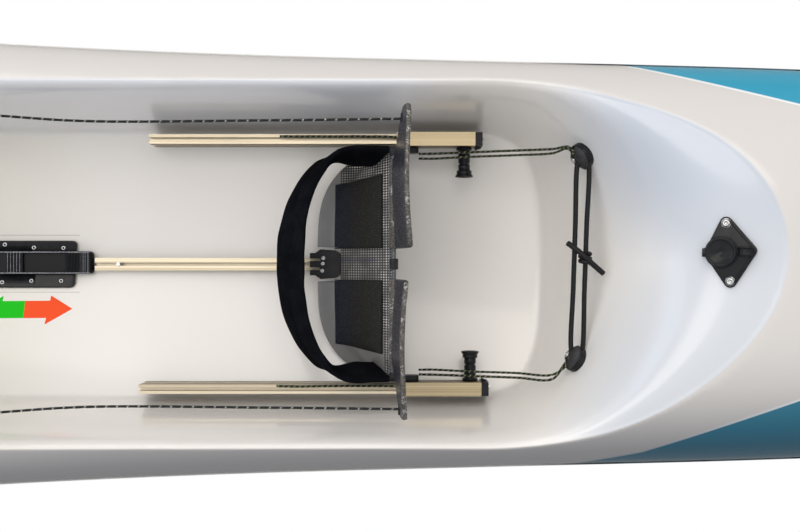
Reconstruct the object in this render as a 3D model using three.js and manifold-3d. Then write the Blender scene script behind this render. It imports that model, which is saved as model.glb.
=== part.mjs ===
// Surfski, 5.5 m, with adjustable footboard, tiller pedals, self-bailer and kick-up rudder.
// Millimetres. +X to the bow, +Y to port, +Z up, origin under the middle of the boat at its keel.

import * as THREE from 'three';
import { mergeVertices } from 'three/addons/utils/BufferGeometryUtils.js';
import Module from 'manifold-3d';

const wasm = await Module();
wasm.setup();

// Driving dimensions of the boat
const HULL_LENGTH = 5490;
const MAX_HALF_BEAM = 265;
const SHEER_HEIGHT = 205;
const BOW_SHEER_RISE = 95;
const STERN_SHEER_RISE = 25;
const BOW_ROCKER = 60;
const STERN_ROCKER = 75;
const FLAT_KEEL_HALF_LENGTH = 700;
const FLAT_KEEL_HALF_WIDTH = 48;
const HULL_WALL = 5;
const DECK_WALL = 4;
const DECK_CROWN = 85;
const DECK_LIP = 6;
const SEAT_GAP = 0.3;
const EDGE_FLANGE_SHARE = 0.97;
const STEEPEST_WALL_SHARE = 0.45;

// Cockpit of the boat, along X from the seat back to the bowl that rises to the foredeck
const FOOTBOARD_X = 545;
const FOOTWELL_FLOOR = 62;
const FOOTWELL_SIDE_RISE = 30;
const FOOTWELL_FLOOR_HALF_WIDTH = 158;
const FOOTWELL_RIM_HALF_WIDTH = 197;
const BOWL_FLOOR_START_X = 600;
const BOWL_FLOOR_END_X = 715;
const BOWL_RIM_START_X = 590;
const BOWL_RIM_END_X = 940;
const SEAT_BOTTOM_X = -340;
const SEAT_BOTTOM = 84;
const SEAT_SIDE_RISE = 46;
const SEAT_RIM_EXTRA = 16;
const SEAT_FLOOR_END_X = -440;
const SEAT_BACK_X = -600;
const THIGH_HUMP_X = -170;
const THIGH_HUMP = 142;
const THIGH_HUMP_SPAN = 130;

// Shares of half the length, then of the greatest half-beam, from stern to bow
const HALF_BEAM_SHARES = [
  [-1, 0.05], [-0.947, 0.145], [-0.838, 0.33], [-0.692, 0.55], [-0.51, 0.775], [-0.328, 0.94],
  [-0.146, 1], [-0.036, 0.97], [0.031, 0.918], [0.136, 0.868], [0.238, 0.838], [0.359, 0.8],
  [0.546, 0.668], [0.729, 0.47], [0.874, 0.262], [0.967, 0.09], [1, 0.028],
];
// Shares of half the length, then of the deck's crown, from stern to bow
const DECK_CROWN_SHARES = [[-1, 0.16], [-0.8, 0.45], [-0.3, 0.72], [0, 0.94], [0.359, 1], [0.7, 0.9],
  [1, 0.34]];

const DECK_COLUMN_SHARES = [0, 0.2, 0.38, 0.52, 0.61, 0.68, 0.735, 0.79, 0.85, 0.91, 0.96, 0.985, 1];
const OUTER_STATION_SHARES = [0, 0.05, 0.13, 0.26, 0.42, 0.6, 0.78, 0.9];
const KEEL_STATIONS = 8;
const COCKPIT_STATION_PITCH = 66;
const HULL_COLUMNS = 8;

const HALF_LENGTH = HULL_LENGTH / 2;

// Finishes
const finish = (color, roughness, metalness) => new THREE.MeshStandardMaterial({ color, roughness,
  metalness });
const FINISHES = {
  gelcoat: () => finish(0xe9e8e6, 0.16, 0),
  hull: () => finish(0x3aa6c6, 0.2, 0),
  champagne: () => finish(0xcdbf9c, 0.32, 1),
  steel: () => finish(0xc8c9cb, 0.25, 1),
  black: () => finish(0x17181a, 0.45, 0),
  carbon: () => finish(0x3a3b40, 0.35, 0),
  rubber: () => finish(0x232427, 0.85, 0),
  cord: () => finish(0x12140f, 0.8, 0),
  fabric: () => finish(0x17181c, 0.9, 0),
  foam: () => finish(0xdedcd2, 0.95, 0),
  plug: () => finish(0x111214, 0.3, 0),
};

const boat = new THREE.Group();

function addMesh(name, geometry, finishName) {
  const mesh = new THREE.Mesh(geometry, FINISHES[finishName]());
  mesh.name = name;
  boat.add(mesh);
  return mesh;
}

// Solids: merging, joining and cutting
function positionsOnly(geometry) {
  const plain = geometry.clone();
  plain.deleteAttribute('normal');
  plain.deleteAttribute('uv');
  return mergeVertices(plain, 1e-4);
}

function toSolid(geometry) {
  const plain = positionsOnly(geometry);
  const vertProperties = new Float32Array(plain.attributes.position.array);
  const triVerts = new Uint32Array(plain.index.array);
  return new wasm.Manifold(new wasm.Mesh({ numProp: 3, vertProperties, triVerts }));
}

function toGeometry(solid) {
  const mesh = solid.getMesh();
  const geometry = new THREE.BufferGeometry();
  const places = new Float32Array(mesh.numVert * 3);
  for (let vertex = 0; vertex < mesh.numVert; vertex += 1) {
    for (let axis = 0; axis < 3; axis += 1) {
      places[vertex * 3 + axis] = mesh.vertProperties[vertex * mesh.numProp + axis];
    }
  }
  geometry.setAttribute('position', new THREE.BufferAttribute(places, 3));
  geometry.setIndex(new THREE.BufferAttribute(new Uint32Array(mesh.triVerts), 1));
  geometry.computeVertexNormals();
  return geometry;
}

function join(first, ...others) {
  let solid = toSolid(first);
  for (const other of others) {
    solid = solid.add(toSolid(other));
  }
  return toGeometry(solid);
}

function cut(first, ...others) {
  let solid = toSolid(first);
  for (const other of others) {
    solid = solid.subtract(toSolid(other));
  }
  return toGeometry(solid);
}

// Basic shapes, each placed by its centre
function box(length, width, height, x, y, z) {
  return new THREE.BoxGeometry(length, width, height).translate(x, y, z);
}

function cylinderZ(radius, height, x, y, z, sides = 20, topRadius = radius) {
  return new THREE.CylinderGeometry(topRadius, radius, height, sides).rotateX(Math.PI / 2).translate(x, y,
    z);
}

function cylinderY(radius, width, x, y, z, sides = 20) {
  return new THREE.CylinderGeometry(radius, radius, width, sides).translate(x, y, z);
}

function cylinderX(radius, length, x, y, z, sides = 20) {
  return new THREE.CylinderGeometry(radius, radius, length, sides).rotateZ(Math.PI / 2).translate(x, y, z);
}

function outline(points) {
  return new THREE.Shape(points.map(([u, v]) => new THREE.Vector2(u, v)));
}

// A flat outline in X and Y raised by a height
function plateXY(shape, height, z, curveSegments = 8) {
  const options = { depth: height, bevelEnabled: false, curveSegments };
  return new THREE.ExtrudeGeometry(shape, options).translate(0, 0, z);
}

// A profile in Y and Z run along X from a start
function barX(shape, length, x, y, z, curveSegments = 8) {
  const options = { depth: length, bevelEnabled: false, curveSegments };
  const geometry = new THREE.ExtrudeGeometry(shape, options);
  return geometry.rotateX(Math.PI / 2).rotateZ(Math.PI / 2).translate(x, y, z);
}

// A profile in X and Z run along Y, centred on a width
function barY(shape, width, x, y, z, curveSegments = 8) {
  const options = { depth: width, bevelEnabled: false, curveSegments };
  return new THREE.ExtrudeGeometry(shape, options).translate(0, 0,
    -width / 2).rotateX(Math.PI / 2).translate(x, y, z);
}

function roundedRectangle(width, height, radius) {
  const shape = new THREE.Shape();
  const right = width / 2;
  const top = height / 2;
  shape.moveTo(-right + radius, -top);
  shape.lineTo(right - radius, -top);
  shape.absarc(right - radius, -top + radius, radius, -Math.PI / 2, 0);
  shape.lineTo(right, top - radius);
  shape.absarc(right - radius, top - radius, radius, 0, Math.PI / 2);
  shape.lineTo(-right + radius, top);
  shape.absarc(-right + radius, top - radius, radius, Math.PI / 2, Math.PI);
  shape.lineTo(-right, -top + radius);
  shape.absarc(-right + radius, -top + radius, radius, Math.PI, Math.PI * 1.5);
  return shape;
}

// A round cord along a smooth curve through points
function cordAlong(points, diameter, steps, sides = 8, closed = false) {
  const section = new THREE.Shape();
  for (let side = 0; side < sides; side += 1) {
    const angle = (side / sides) * Math.PI * 2;
    const place = [Math.cos(angle) * diameter / 2, Math.sin(angle) * diameter / 2];
    if (side === 0) section.moveTo(...place);
    else section.lineTo(...place);
  }
  const route = points.map((point) => new THREE.Vector3(...point));
  const curve = new THREE.CatmullRomCurve3(route, closed, 'centripetal');
  return new THREE.ExtrudeGeometry(section, { steps, bevelEnabled: false, extrudePath: curve });
}

// Sections with the same number of points, joined in order and capped at both ends
function loft(sections) {
  const count = sections[0].length;
  const places = sections.flat(2);
  const faces = [];
  for (let row = 0; row < sections.length - 1; row += 1) {
    for (let column = 0; column < count; column += 1) {
      const next = (column + 1) % count;
      const a = row * count + column;
      const b = row * count + next;
      const c = (row + 1) * count + next;
      const d = (row + 1) * count + column;
      faces.push(a, b, c, a, c, d);
    }
  }
  const last = (sections.length - 1) * count;
  for (let column = 0; column < count / 2 - 1; column += 1) {
    const across = count - 1 - column;
    faces.push(column, across, across - 1, column, across - 1, column + 1);
    faces.push(last + column, last + across - 1, last + across, last + column, last + column + 1,
      last + across - 1);
  }
  return solidFrom(places, faces);
}

// A round cord with as many rings between any two of its points, so that tight bends stay round
function cordThrough(points, diameter, perSpan, sides) {
  const curve = new THREE.CatmullRomCurve3(points.map((point) => new THREE.Vector3(...point)), false, 'centripetal');
  const count = (points.length - 1) * perSpan;
  const across = new THREE.Vector3(0, 0, 1);
  const sections = [];
  for (let ring = 0; ring <= count; ring += 1) {
    const centre = curve.getPoint(ring / count);
    const along = curve.getTangent(ring / count);
    across.addScaledVector(along, -across.dot(along)).normalize();
    const up = along.clone().cross(across);
    const section = [];
    for (let side = 0; side < sides; side += 1) {
      const angle = (side / sides) * Math.PI * 2;
      section.push(centre.clone().addScaledVector(across, Math.cos(angle) * diameter / 2)
        .addScaledVector(up, Math.sin(angle) * diameter / 2).toArray());
    }
    sections.push(section);
  }
  return loft(sections);
}

function solidFrom(places, faces) {
  const geometry = new THREE.BufferGeometry();
  geometry.setAttribute('position', new THREE.Float32BufferAttribute(places, 3));
  geometry.setIndex(faces);
  if (signedVolume(geometry) < 0) geometry.index.array.reverse();
  geometry.computeVertexNormals();
  return geometry;
}

function signedVolume(geometry) {
  const corner = [new THREE.Vector3(), new THREE.Vector3(), new THREE.Vector3()];
  let volume = 0;
  for (let face = 0; face < geometry.index.count; face += 3) {
    corner.forEach((vertex, k) => vertex.fromBufferAttribute(geometry.attributes.position,
      geometry.index.getX(face + k)));
    volume += corner[0].dot(corner[1].clone().cross(corner[2]));
  }
  return volume;
}

// The lines of the hull and deck
function smoothStep(value) {
  const t = Math.min(1, Math.max(0, value));
  return t * t * (3 - 2 * t);
}

// A monotone cubic through a table of shares
function follow(table, share) {
  const rows = table.length;
  const slope = (k) => (table[k + 1][1] - table[k][1]) / (table[k + 1][0] - table[k][0]);
  const tangent = (k) => {
    if (k === 0) return slope(0);
    if (k === rows - 1) return slope(rows - 2);
    const before = slope(k - 1);
    const after = slope(k);
    return before * after <= 0 ? 0 : (2 * before * after) / (before + after);
  };
  let k = 0;
  while (k < rows - 2 && share > table[k + 1][0]) k += 1;
  const span = table[k + 1][0] - table[k][0];
  const t = Math.min(1, Math.max(0, (share - table[k][0]) / span));
  const t2 = t * t;
  const t3 = t2 * t;
  return (2 * t3 - 3 * t2 + 1) * table[k][1] + (t3 - 2 * t2 + t) * span * tangent(k)
    + (3 * t2 - 2 * t3) * table[k + 1][1] + (t3 - t2) * span * tangent(k + 1);
}

// Hull stations along X, close together at the ends
function hullStations() {
  const list = [];
  const taper = HALF_LENGTH - FLAT_KEEL_HALF_LENGTH;
  for (const share of OUTER_STATION_SHARES) list.push(-HALF_LENGTH + share * taper);
  for (let k = 0; k <= KEEL_STATIONS; k += 1) list.push(FLAT_KEEL_HALF_LENGTH * (2 * k / KEEL_STATIONS - 1));
  for (const share of [...OUTER_STATION_SHARES].reverse()) {
    list.push(HALF_LENGTH - share * (HALF_LENGTH - FLAT_KEEL_HALF_LENGTH));
  }
  return list;
}

const HULL_STATIONS = hullStations();

// Straight between the hull's stations, so that the deck's edge follows the hull's rim
function betweenStations(fair) {
  return (x) => {
    let k = 0;
    while (k < HULL_STATIONS.length - 2 && x > HULL_STATIONS[k + 1]) k += 1;
    const [aft, fore] = [HULL_STATIONS[k], HULL_STATIONS[k + 1]];
    return fair(aft) + (fair(fore) - fair(aft)) * (x - aft) / (fore - aft);
  };
}

const halfBeam = betweenStations((x) => MAX_HALF_BEAM * follow(HALF_BEAM_SHARES, x / HALF_LENGTH));
const sheerHeight = betweenStations((x) => {
  const share = x / HALF_LENGTH;
  return SHEER_HEIGHT + (share > 0 ? BOW_SHEER_RISE * share ** 2.4 : STERN_SHEER_RISE * share ** 2);
});
const deckCrown = (x) => DECK_CROWN * follow(DECK_CROWN_SHARES, x / HALF_LENGTH);

function keelHeight(x) {
  const beyond = Math.max(0, Math.abs(x) - FLAT_KEEL_HALF_LENGTH) / (HALF_LENGTH - FLAT_KEEL_HALF_LENGTH);
  return (x > 0 ? BOW_ROCKER : STERN_ROCKER) * beyond ** 2.2;
}

// One point of the hull's skin: from the keel's flat round the bilge to the sheer
function hullPoint(x, share, wall) {
  const beam = halfBeam(x);
  const fullness = beam / MAX_HALF_BEAM;
  const flat = FLAT_KEEL_HALF_WIDTH * fullness;
  const angle = share * Math.PI / 2;
  const reach = Math.max(beam - wall, beam * 0.3);
  const sheer = sheerHeight(x);
  const keel = keelHeight(x);
  const floor = Math.min(keel + wall / Math.max(fullness, 0.2) ** 1.6, sheer - HULL_WALL);
  const y = flat + (reach - flat) * Math.sin(angle) ** (0.72 + 0.28 * (1 - fullness));
  const bottom = wall > 0 ? floor : keel;
  return [x, y, sheer - (sheer - bottom) * Math.cos(angle) ** 0.9];
}

// Deck stations: the hull's own, with more of them in the cockpit
function deckStations() {
  const list = [...HULL_STATIONS];
  const first = SEAT_BACK_X - COCKPIT_STATION_PITCH;
  const last = BOWL_RIM_END_X + COCKPIT_STATION_PITCH;
  for (let x = first; x <= last; x += COCKPIT_STATION_PITCH) {
    if (HULL_STATIONS.every((station) => Math.abs(station - x) > COCKPIT_STATION_PITCH / 3)) list.push(x);
  }
  return list.sort((one, other) => one - other);
}

function hullShell() {
  const sections = HULL_STATIONS.map((x) => {
    const outer = [];
    const inner = [];
    for (let column = -HULL_COLUMNS; column <= HULL_COLUMNS; column += 1) {
      if (column === 0) continue;
      const side = Math.sign(column);
      const share = (Math.abs(column) - 1) / (HULL_COLUMNS - 1);
      const skin = hullPoint(x, share, 0);
      const liner = hullPoint(x, share, HULL_WALL);
      outer.push([x, side * skin[1], skin[2]]);
      inner.push([x, side * liner[1], liner[2]]);
    }
    return [...outer, ...inner.reverse()];
  });
  return loft(sections);
}

// Outer deck without the cockpit: a crown with full shoulders
function plainDeck(x, y) {
  const share = Math.min(1, Math.abs(y) / halfBeam(x));
  return sheerHeight(x) + DECK_LIP + deckCrown(x) * (1 - share ** 2.6) ** 0.62;
}

function rimHalfWidth(x) {
  const swell = smoothStep((THIGH_HUMP_X + THIGH_HUMP_SPAN - x) / (THIGH_HUMP_SPAN * 2));
  return FOOTWELL_RIM_HALF_WIDTH + SEAT_RIM_EXTRA * swell;
}

// 1 on the closed curve, less inside: straight sides with rounded ends
function ovalMeasure(x, y, halfWidth, aftStart, aftEnd, foreStart, foreEnd, power) {
  const fore = Math.max(0, (x - foreStart) / (foreEnd - foreStart));
  const aft = Math.max(0, (aftStart - x) / (aftStart - aftEnd));
  const along = Math.max(fore, aft);
  return (along ** power + (Math.abs(y) / halfWidth) ** power) ** (1 / power);
}

function cockpitFloor(x, y) {
  const seat = smoothStep((THIGH_HUMP_X - x) / THIGH_HUMP_SPAN);
  const hump = smoothStep(1 - Math.abs(x - THIGH_HUMP_X) / THIGH_HUMP_SPAN);
  const base = FOOTWELL_FLOOR + (SEAT_BOTTOM - FOOTWELL_FLOOR) * seat;
  const sideRise = FOOTWELL_SIDE_RISE + (SEAT_SIDE_RISE - FOOTWELL_SIDE_RISE) * seat;
  const across = Math.min(1, Math.abs(y) / FOOTWELL_FLOOR_HALF_WIDTH);
  return base + (THIGH_HUMP - base) * hump + sideRise * across ** 2;
}

function deckTop(x, y) {
  const deck = plainDeck(x, y);
  const rim = ovalMeasure(x, y, rimHalfWidth(x), SEAT_FLOOR_END_X, SEAT_BACK_X, BOWL_RIM_START_X,
    BOWL_RIM_END_X, 2.5);
  const floor = ovalMeasure(x, y, FOOTWELL_FLOOR_HALF_WIDTH, SEAT_BOTTOM_X, SEAT_FLOOR_END_X,
    BOWL_FLOOR_START_X, BOWL_FLOOR_END_X, 4);
  const inward = Math.max(0, 1 - rim);
  const outward = Math.max(0, floor - 1);
  if (inward === 0) return deck;
  return deck - (deck - cockpitFloor(x, y)) * smoothStep(inward / (inward + outward));
}

function deckNormal(x, y) {
  const step = DECK_WALL / 2;
  const slopeX = (deckTop(x + step, y) - deckTop(x - step, y)) / (2 * step);
  const slopeY = (deckTop(x, y + step) - deckTop(x, y - step)) / (2 * step);
  return new THREE.Vector3(-slopeX, -slopeY, 1).normalize();
}

function deckShell() {
  const shares = [...DECK_COLUMN_SHARES.slice(1).map((share) => -share).reverse(), ...DECK_COLUMN_SHARES];
  const sections = deckStations().map((x) => {
    const beam = halfBeam(x);
    const base = sheerHeight(x) + SEAT_GAP;
    const top = shares.map((share) => [x, beam * share, deckTop(x, beam * share)]);
    const under = shares.map((share) => {
      const y = beam * share;
      if (Math.abs(share) > EDGE_FLANGE_SHARE) return [x, y, base];
      return [x, y, deckTop(x, y) - DECK_WALL / Math.max(deckNormal(x, y).z, STEEPEST_WALL_SHARE)];
    });
    return [...top, ...under.reverse()];
  });
  return loft(sections);
}

const deckPlain = toSolid(deckShell());
const hullPlain = toSolid(hullShell());

// Trims a piece to the surface of the deck or hull that carries it
function seatOn(shell, geometry) {
  const bodies = toSolid(geometry).subtract(shell.translate([0, 0, SEAT_GAP * 1.5])).decompose();
  return toGeometry(bodies.reduce((one, other) => (other.volume() > one.volume() ? other : one)));
}

const seatOnDeck = (geometry) => seatOn(deckPlain, geometry);

// Small sizes of the hardware
const RUNNING_GAP = 0.35;
const OVERRUN = 4;
const RAIL = { spacing: 147, width: 11, height: 40, portStart: 250, starboardStart: 238, slotMouth: 4,
  slotDepth: 3,
  slotWidth: 7, slotFloor: 7 };
const RAIL_HOLE = { radius: 3.1, pitch: 26, depth: 6, count: 9, grooveDepth: 2.8, sides: 8 };
const CENTRE_RAIL = { start: 171, end: 486, width: 15.4, height: 12, slotMouth: 4, slotDepth: 3,
  slotWidth: 9 };
const CENTRE_SCREW = { x: 200, headRadius: 2.6, headHeight: 2, shankLength: 6 };
const SLIDER = { length: 92, wall: 2.2, outerDepth: 18, innerDepth: 31, aftReach: 3.5, starboardLead: 7 };
const END_CAP = { length: 8, ear: 5 };
const CAP_SCREW = { headRadius: 3.6, headHeight: 2.6, shankRadius: 1.6 };
const PIN = { back: 12, drop: 21, barrelRadius: 7, barrelLength: 27, bore: 4.6, endWall: 4, shaft: 2.5,
  reach: 2.2,
  knobRadius: 8.9, knobLength: 8, groove: 19.4, grooveDepth: 1, chamfer: 0.7, waist: 3.2, flare: 2.4 };
const SPRING = { coilRadius: 3.6, wire: 0.9, turns: 5, facets: 7 };
const BOARD = { halfWidth: 127, wall: 6, heelReach: 98, lobe: 44, heelHeight: 27, shelf: 20, topBack: 12,
  topHeight: 130,
  bend: 12, notchHalfWidth: 20, notchDepth: 27, columns: 8 };
const GUSSET = { aft: 36, fore: 22, low: 46, high: 63 };
const PAD = { inner: 20, outer: 101, height: 3, bond: 1.2, columns: 4 };
const PEDAL = { inner: 17, barrelOuter: 117, tip: 171, height: 86, wall: 6, portLean: 14.5,
  starboardLean: 9.5, bow: 5, hingeRadius: 5, columns: 11 };
// Shares of the pedal's height at shares of its width: lower edge, then upper edge
const PEDAL_EDGE_SHARES = [[0, 0, 0.9], [0.08, 0, 0.97], [0.3, 0, 1], [0.55, 0, 1], [0.649, 0, 1],
  [0.65, 0.12, 1],
  [0.74, 0.3, 0.99], [0.86, 0.38, 0.95], [0.94, 0.44, 0.88], [0.985, 0.52, 0.78], [1, 0.6, 0.7]];
const STRAP = { width: 50, pad: 9, reach: 124, rise: 118, end: 18, sideHeight: 90, steps: 26 };
// Shares of the strap's half-width, its reach aft and its rise, from the port end to the middle
const STRAP_ROUTE_SHARES = [[1, 0.1, 0.5], [1, 0.26, 0.5], [1, 0.42, 0.52], [0.95, 0.6, 0.6],
  [0.8, 0.78, 0.74], [0.52, 0.93, 0.9],
  [0.24, 0.99, 0.98], [0, 1, 1]];
// The strap's section round its middle: shares of its width and of its pad
const STRAP_SECTION_SHARES = [[-0.5, 0], [-0.42, 0.36], [0, 0.5], [0.42, 0.36], [0.5, 0], [0.42, -0.36],
  [0, -0.5],
  [-0.42, -0.36]];
const CARRIAGE = { length: 37.4, halfWidth: 18, aftHalfWidth: 13.5, shoulderHalfWidth: 16.6,
  foreHalfWidth: 12.6, height: 22,
  prong: 13, slot: 3.2, slotOffset: 5.4, leg: 8 };
const HINGE_ROD_RADIUS = 2.5;
const GUSSET_THICKNESS = 6;
const LINE_EYE_RADIUS = 5.5;
const STRAP_LEAN = 0.72;
const LINE = { diameter: 3, y: 156, height: 46 };
const CONDUIT = { diameter: 10, bore: 8, steps: 21, sides: 6 };

const railBase = cockpitFloor(FOOTBOARD_X, RAIL.spacing + RAIL.width / 2) + SEAT_GAP * 5;
const railTop = railBase + RAIL.height;
// The starboard slider stands a little further forward than the port one, with its rail and pin
const sliderStart = (side) => FOOTBOARD_X - SLIDER.aftReach + (side > 0 ? 0 : SLIDER.starboardLead);
const sliderEnd = (side) => sliderStart(side) + SLIDER.length;
const railStart = (side) => (side > 0 ? RAIL.portStart : RAIL.starboardStart);
const railEnd = (side) => sliderEnd(side) + SEAT_GAP;
const pinX = (side) => sliderEnd(side) - PIN.back;
const sliderHalfWidth = RAIL.width / 2 + RUNNING_GAP + SLIDER.wall;
const hingeHeight = FOOTWELL_FLOOR + BOARD.topHeight + PEDAL.hingeRadius + SEAT_GAP * 4;
const hingeX = FOOTBOARD_X - BOARD.topBack + PEDAL.hingeRadius;
const lineHeight = hingeHeight + LINE.height;

// Extruded side rail with a T-slot along its top and locking holes in its inner face
function sideRail(side) {
  const half = RAIL.width / 2;
  const top = RAIL.height;
  const mouth = RAIL.slotMouth / 2;
  const slot = RAIL.slotWidth / 2;
  const lip = top - RAIL.slotDepth;
  const floor = top - RAIL.slotFloor;
  const profile = outline([[-half, 0], [half, 0], [half, top], [mouth, top], [mouth, lip], [slot, lip],
    [slot, floor],
    [-slot, floor], [-slot, lip], [-mouth, lip], [-mouth, top], [-half, top]]);
  const length = railEnd(side) - railStart(side);
  const bar = barX(profile, length, railStart(side), side * RAIL.spacing, railBase);
  const holes = [];
  for (let k = 0; k < RAIL_HOLE.count; k += 1) {
    const x = sliderEnd(side) - PIN.back - k * RAIL_HOLE.pitch;
    const y = side * (RAIL.spacing - half + RAIL_HOLE.depth / 2 - OVERRUN / 2);
    holes.push(cylinderY(RAIL_HOLE.radius, RAIL_HOLE.depth + OVERRUN, x, y, railTop - PIN.drop,
      RAIL_HOLE.sides));
  }
  const grooveWidth = RAIL_HOLE.grooveDepth + OVERRUN;
  const grooveY = side * (RAIL.spacing - half + RAIL_HOLE.grooveDepth - grooveWidth / 2);
  const groove = box(length * 2, grooveWidth, RAIL_HOLE.radius * 2, railStart(side), grooveY,
    railTop - PIN.drop);
  return cut(bar, groove, ...holes);
}

// Slotted track along the middle of the footwell floor
function centreRail() {
  const half = CENTRE_RAIL.width / 2;
  const top = CENTRE_RAIL.height;
  const mouth = CENTRE_RAIL.slotMouth / 2;
  const slot = CENTRE_RAIL.slotWidth / 2;
  const lip = top - CENTRE_RAIL.slotDepth;
  const floor = lip - CENTRE_RAIL.slotDepth * 2;
  const profile = outline([[-half, 0], [half, 0], [half, top], [mouth, top], [mouth, lip], [slot, lip],
    [slot, floor],
    [-slot, floor], [-slot, lip], [-mouth, lip], [-mouth, top], [-half, top]]);
  const start = CENTRE_RAIL.start;
  return barX(profile, CENTRE_RAIL.end - start, start, 0, FOOTWELL_FLOOR + SEAT_GAP * 2);
}

const centreRailTop = FOOTWELL_FLOOR + SEAT_GAP * 2 + CENTRE_RAIL.height;

// Screw whose head sits over the slot of the centre rail
function centreScrew() {
  const head = cylinderZ(CENTRE_SCREW.headRadius, CENTRE_SCREW.headHeight, CENTRE_SCREW.x, 0,
    centreRailTop + SEAT_GAP + CENTRE_SCREW.headHeight / 2, 16);
  const shankTop = centreRailTop + SEAT_GAP + CENTRE_SCREW.headHeight / 2;
  const shank = cylinderZ(CENTRE_RAIL.slotMouth / 2 - SEAT_GAP, CENTRE_SCREW.shankLength, CENTRE_SCREW.x, 0,
    shankTop - CENTRE_SCREW.shankLength / 2, 12);
  return join(head, shank);
}

// Slider: a cap over the side rail with a short outer leg and a long inner leg for the pin
function slider(side) {
  const outer = sliderHalfWidth;
  const inner = RAIL.width / 2 + RUNNING_GAP;
  const crown = railTop + RUNNING_GAP + SLIDER.wall;
  const under = railTop + RUNNING_GAP;
  const outline2d = outline([[side * outer, crown], [-side * outer, crown],
    [-side * outer, crown - SLIDER.innerDepth],
    [-side * inner, crown - SLIDER.innerDepth], [-side * inner, under], [side * inner, under],
    [side * inner, crown - SLIDER.outerDepth], [side * outer, crown - SLIDER.outerDepth]]);
  const bar = barX(outline2d, SLIDER.length, sliderStart(side), side * RAIL.spacing, 0);
  const hole = cylinderY(PIN.shaft + RUNNING_GAP, SLIDER.wall + OVERRUN, pinX(side),
    side * (RAIL.spacing - (inner + outer) / 2), railTop - PIN.drop, 16);
  return cut(bar, hole);
}

// Moulded cap on the fore end of a side rail, with a small ear towards the middle
function endCap(side) {
  const height = RAIL.height;
  const width = sliderHalfWidth * 2;
  const x = railEnd(side) + SEAT_GAP + END_CAP.length / 2;
  const body = box(END_CAP.length, width, height, x, side * RAIL.spacing,
    railBase + height / 2 + RUNNING_GAP);
  const edge = RAIL.spacing - width / 2;
  const aft = x - END_CAP.length / 2;
  const fore = x + END_CAP.length / 2;
  const triangle = outline([[aft, side * edge], [fore, side * (edge + SEAT_GAP * 4)], [fore, side * edge],
    [aft, side * (edge - END_CAP.ear)]]);
  const ear = plateXY(triangle, END_CAP.ear, railTop - END_CAP.ear * 3);
  const bore = cylinderX(CAP_SCREW.shankRadius + SEAT_GAP, END_CAP.length + OVERRUN, x, side * RAIL.spacing,
    railBase + height / 3, 12);
  return cut(join(body, ear), bore);
}

function capScrew(side) {
  const face = railEnd(side) + END_CAP.length + SEAT_GAP * 2;
  const z = railBase + RAIL.height / 3;
  const head = cylinderX(CAP_SCREW.headRadius, CAP_SCREW.headHeight, face + CAP_SCREW.headHeight / 2,
    side * RAIL.spacing, z, 16);
  const end = face - END_CAP.length;
  const start = face + CAP_SCREW.headHeight / 2;
  const shank = cylinderX(CAP_SCREW.shankRadius, start - end, (start + end) / 2, side * RAIL.spacing, z, 12);
  return join(head, shank);
}

// Revolved about Y: profile rows are radius and distance from the slider towards the middle
function turnedAboutY(profile, side, x, y, z, sides = 14) {
  const points = profile.map(([radius, along]) => new THREE.Vector2(radius, along));
  const geometry = new THREE.LatheGeometry(points, sides);
  if (side > 0) geometry.rotateX(Math.PI);
  return geometry.translate(x, y, z);
}

const pinZ = railTop - PIN.drop;
const sliderFace = RAIL.spacing - sliderHalfWidth;

// Barrel of the pull pin, with a groove round it and hollow from the knob's end
function pinBarrel(side) {
  const { shaft, barrelRadius, barrelLength, groove, grooveDepth, bore, endWall } = PIN;
  const throat = shaft + RUNNING_GAP;
  const profile = [[throat, 0], [barrelRadius, 0], [barrelRadius, groove],
    [barrelRadius - grooveDepth, groove + grooveDepth],
    [barrelRadius, groove + grooveDepth * 2], [barrelRadius, barrelLength], [bore, barrelLength], [bore,
    endWall],
    [throat, endWall], [throat, 0]];
  return turnedAboutY(profile, side, pinX(side), side * (sliderFace - SEAT_GAP), pinZ);
}

// Knob with its pin, which reaches through the barrel into the groove of the rail
function pinKnob(side) {
  const { shaft, barrelRadius, barrelLength, knobRadius, knobLength, chamfer, waist, flare, reach } = PIN;
  const seat = barrelLength + SEAT_GAP;
  const tip = -(SLIDER.wall + RUNNING_GAP + reach);
  const end = seat + knobLength;
  const profile = [[0, tip], [shaft - chamfer, tip], [shaft, tip + chamfer], [shaft, seat],
    [barrelRadius, seat],
    [knobRadius, seat + flare], [knobRadius, end - chamfer * 2], [knobRadius - chamfer * 2,
    end], [barrelRadius - flare, end],
    [barrelRadius - waist, end - chamfer], [0, end - chamfer]];
  return turnedAboutY(profile, side, pinX(side), side * (sliderFace - SEAT_GAP), pinZ);
}

// Compression spring round the pin inside the barrel
function pinSpring(side) {
  const points = [];
  const first = PIN.endWall + SPRING.wire;
  const length = PIN.barrelLength - first - SPRING.wire;
  const steps = SPRING.turns * SPRING.facets;
  for (let k = 0; k <= steps; k += 1) {
    const angle = (k / SPRING.facets) * Math.PI * 2;
    const along = sliderFace - SEAT_GAP - first - length * k / steps;
    points.push([pinX(side) + SPRING.coilRadius * Math.cos(angle), side * along,
      pinZ + SPRING.coilRadius * Math.sin(angle)]);
  }
  return cordAlong(points, SPRING.wire, steps, 4);
}

addMesh('centre_rail', centreRail(), 'champagne');
addMesh('centre_rail_screw', centreScrew(), 'steel');
for (const [name, side] of [['port', 1], ['starboard', -1]]) {
  addMesh(`${name}_side_rail`, seatOnDeck(sideRail(side)), 'champagne');
  addMesh(`${name}_slider`, slider(side), 'champagne');
  addMesh(`${name}_rail_end_cap`, seatOnDeck(endCap(side)), 'black');
  addMesh(`${name}_end_cap_screw`, capScrew(side), 'steel');
  addMesh(`${name}_pin_barrel`, pinBarrel(side), 'black');
  addMesh(`${name}_pull_knob`, pinKnob(side), 'black');
  addMesh(`${name}_pin_spring`, pinSpring(side), 'steel');
}

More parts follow.
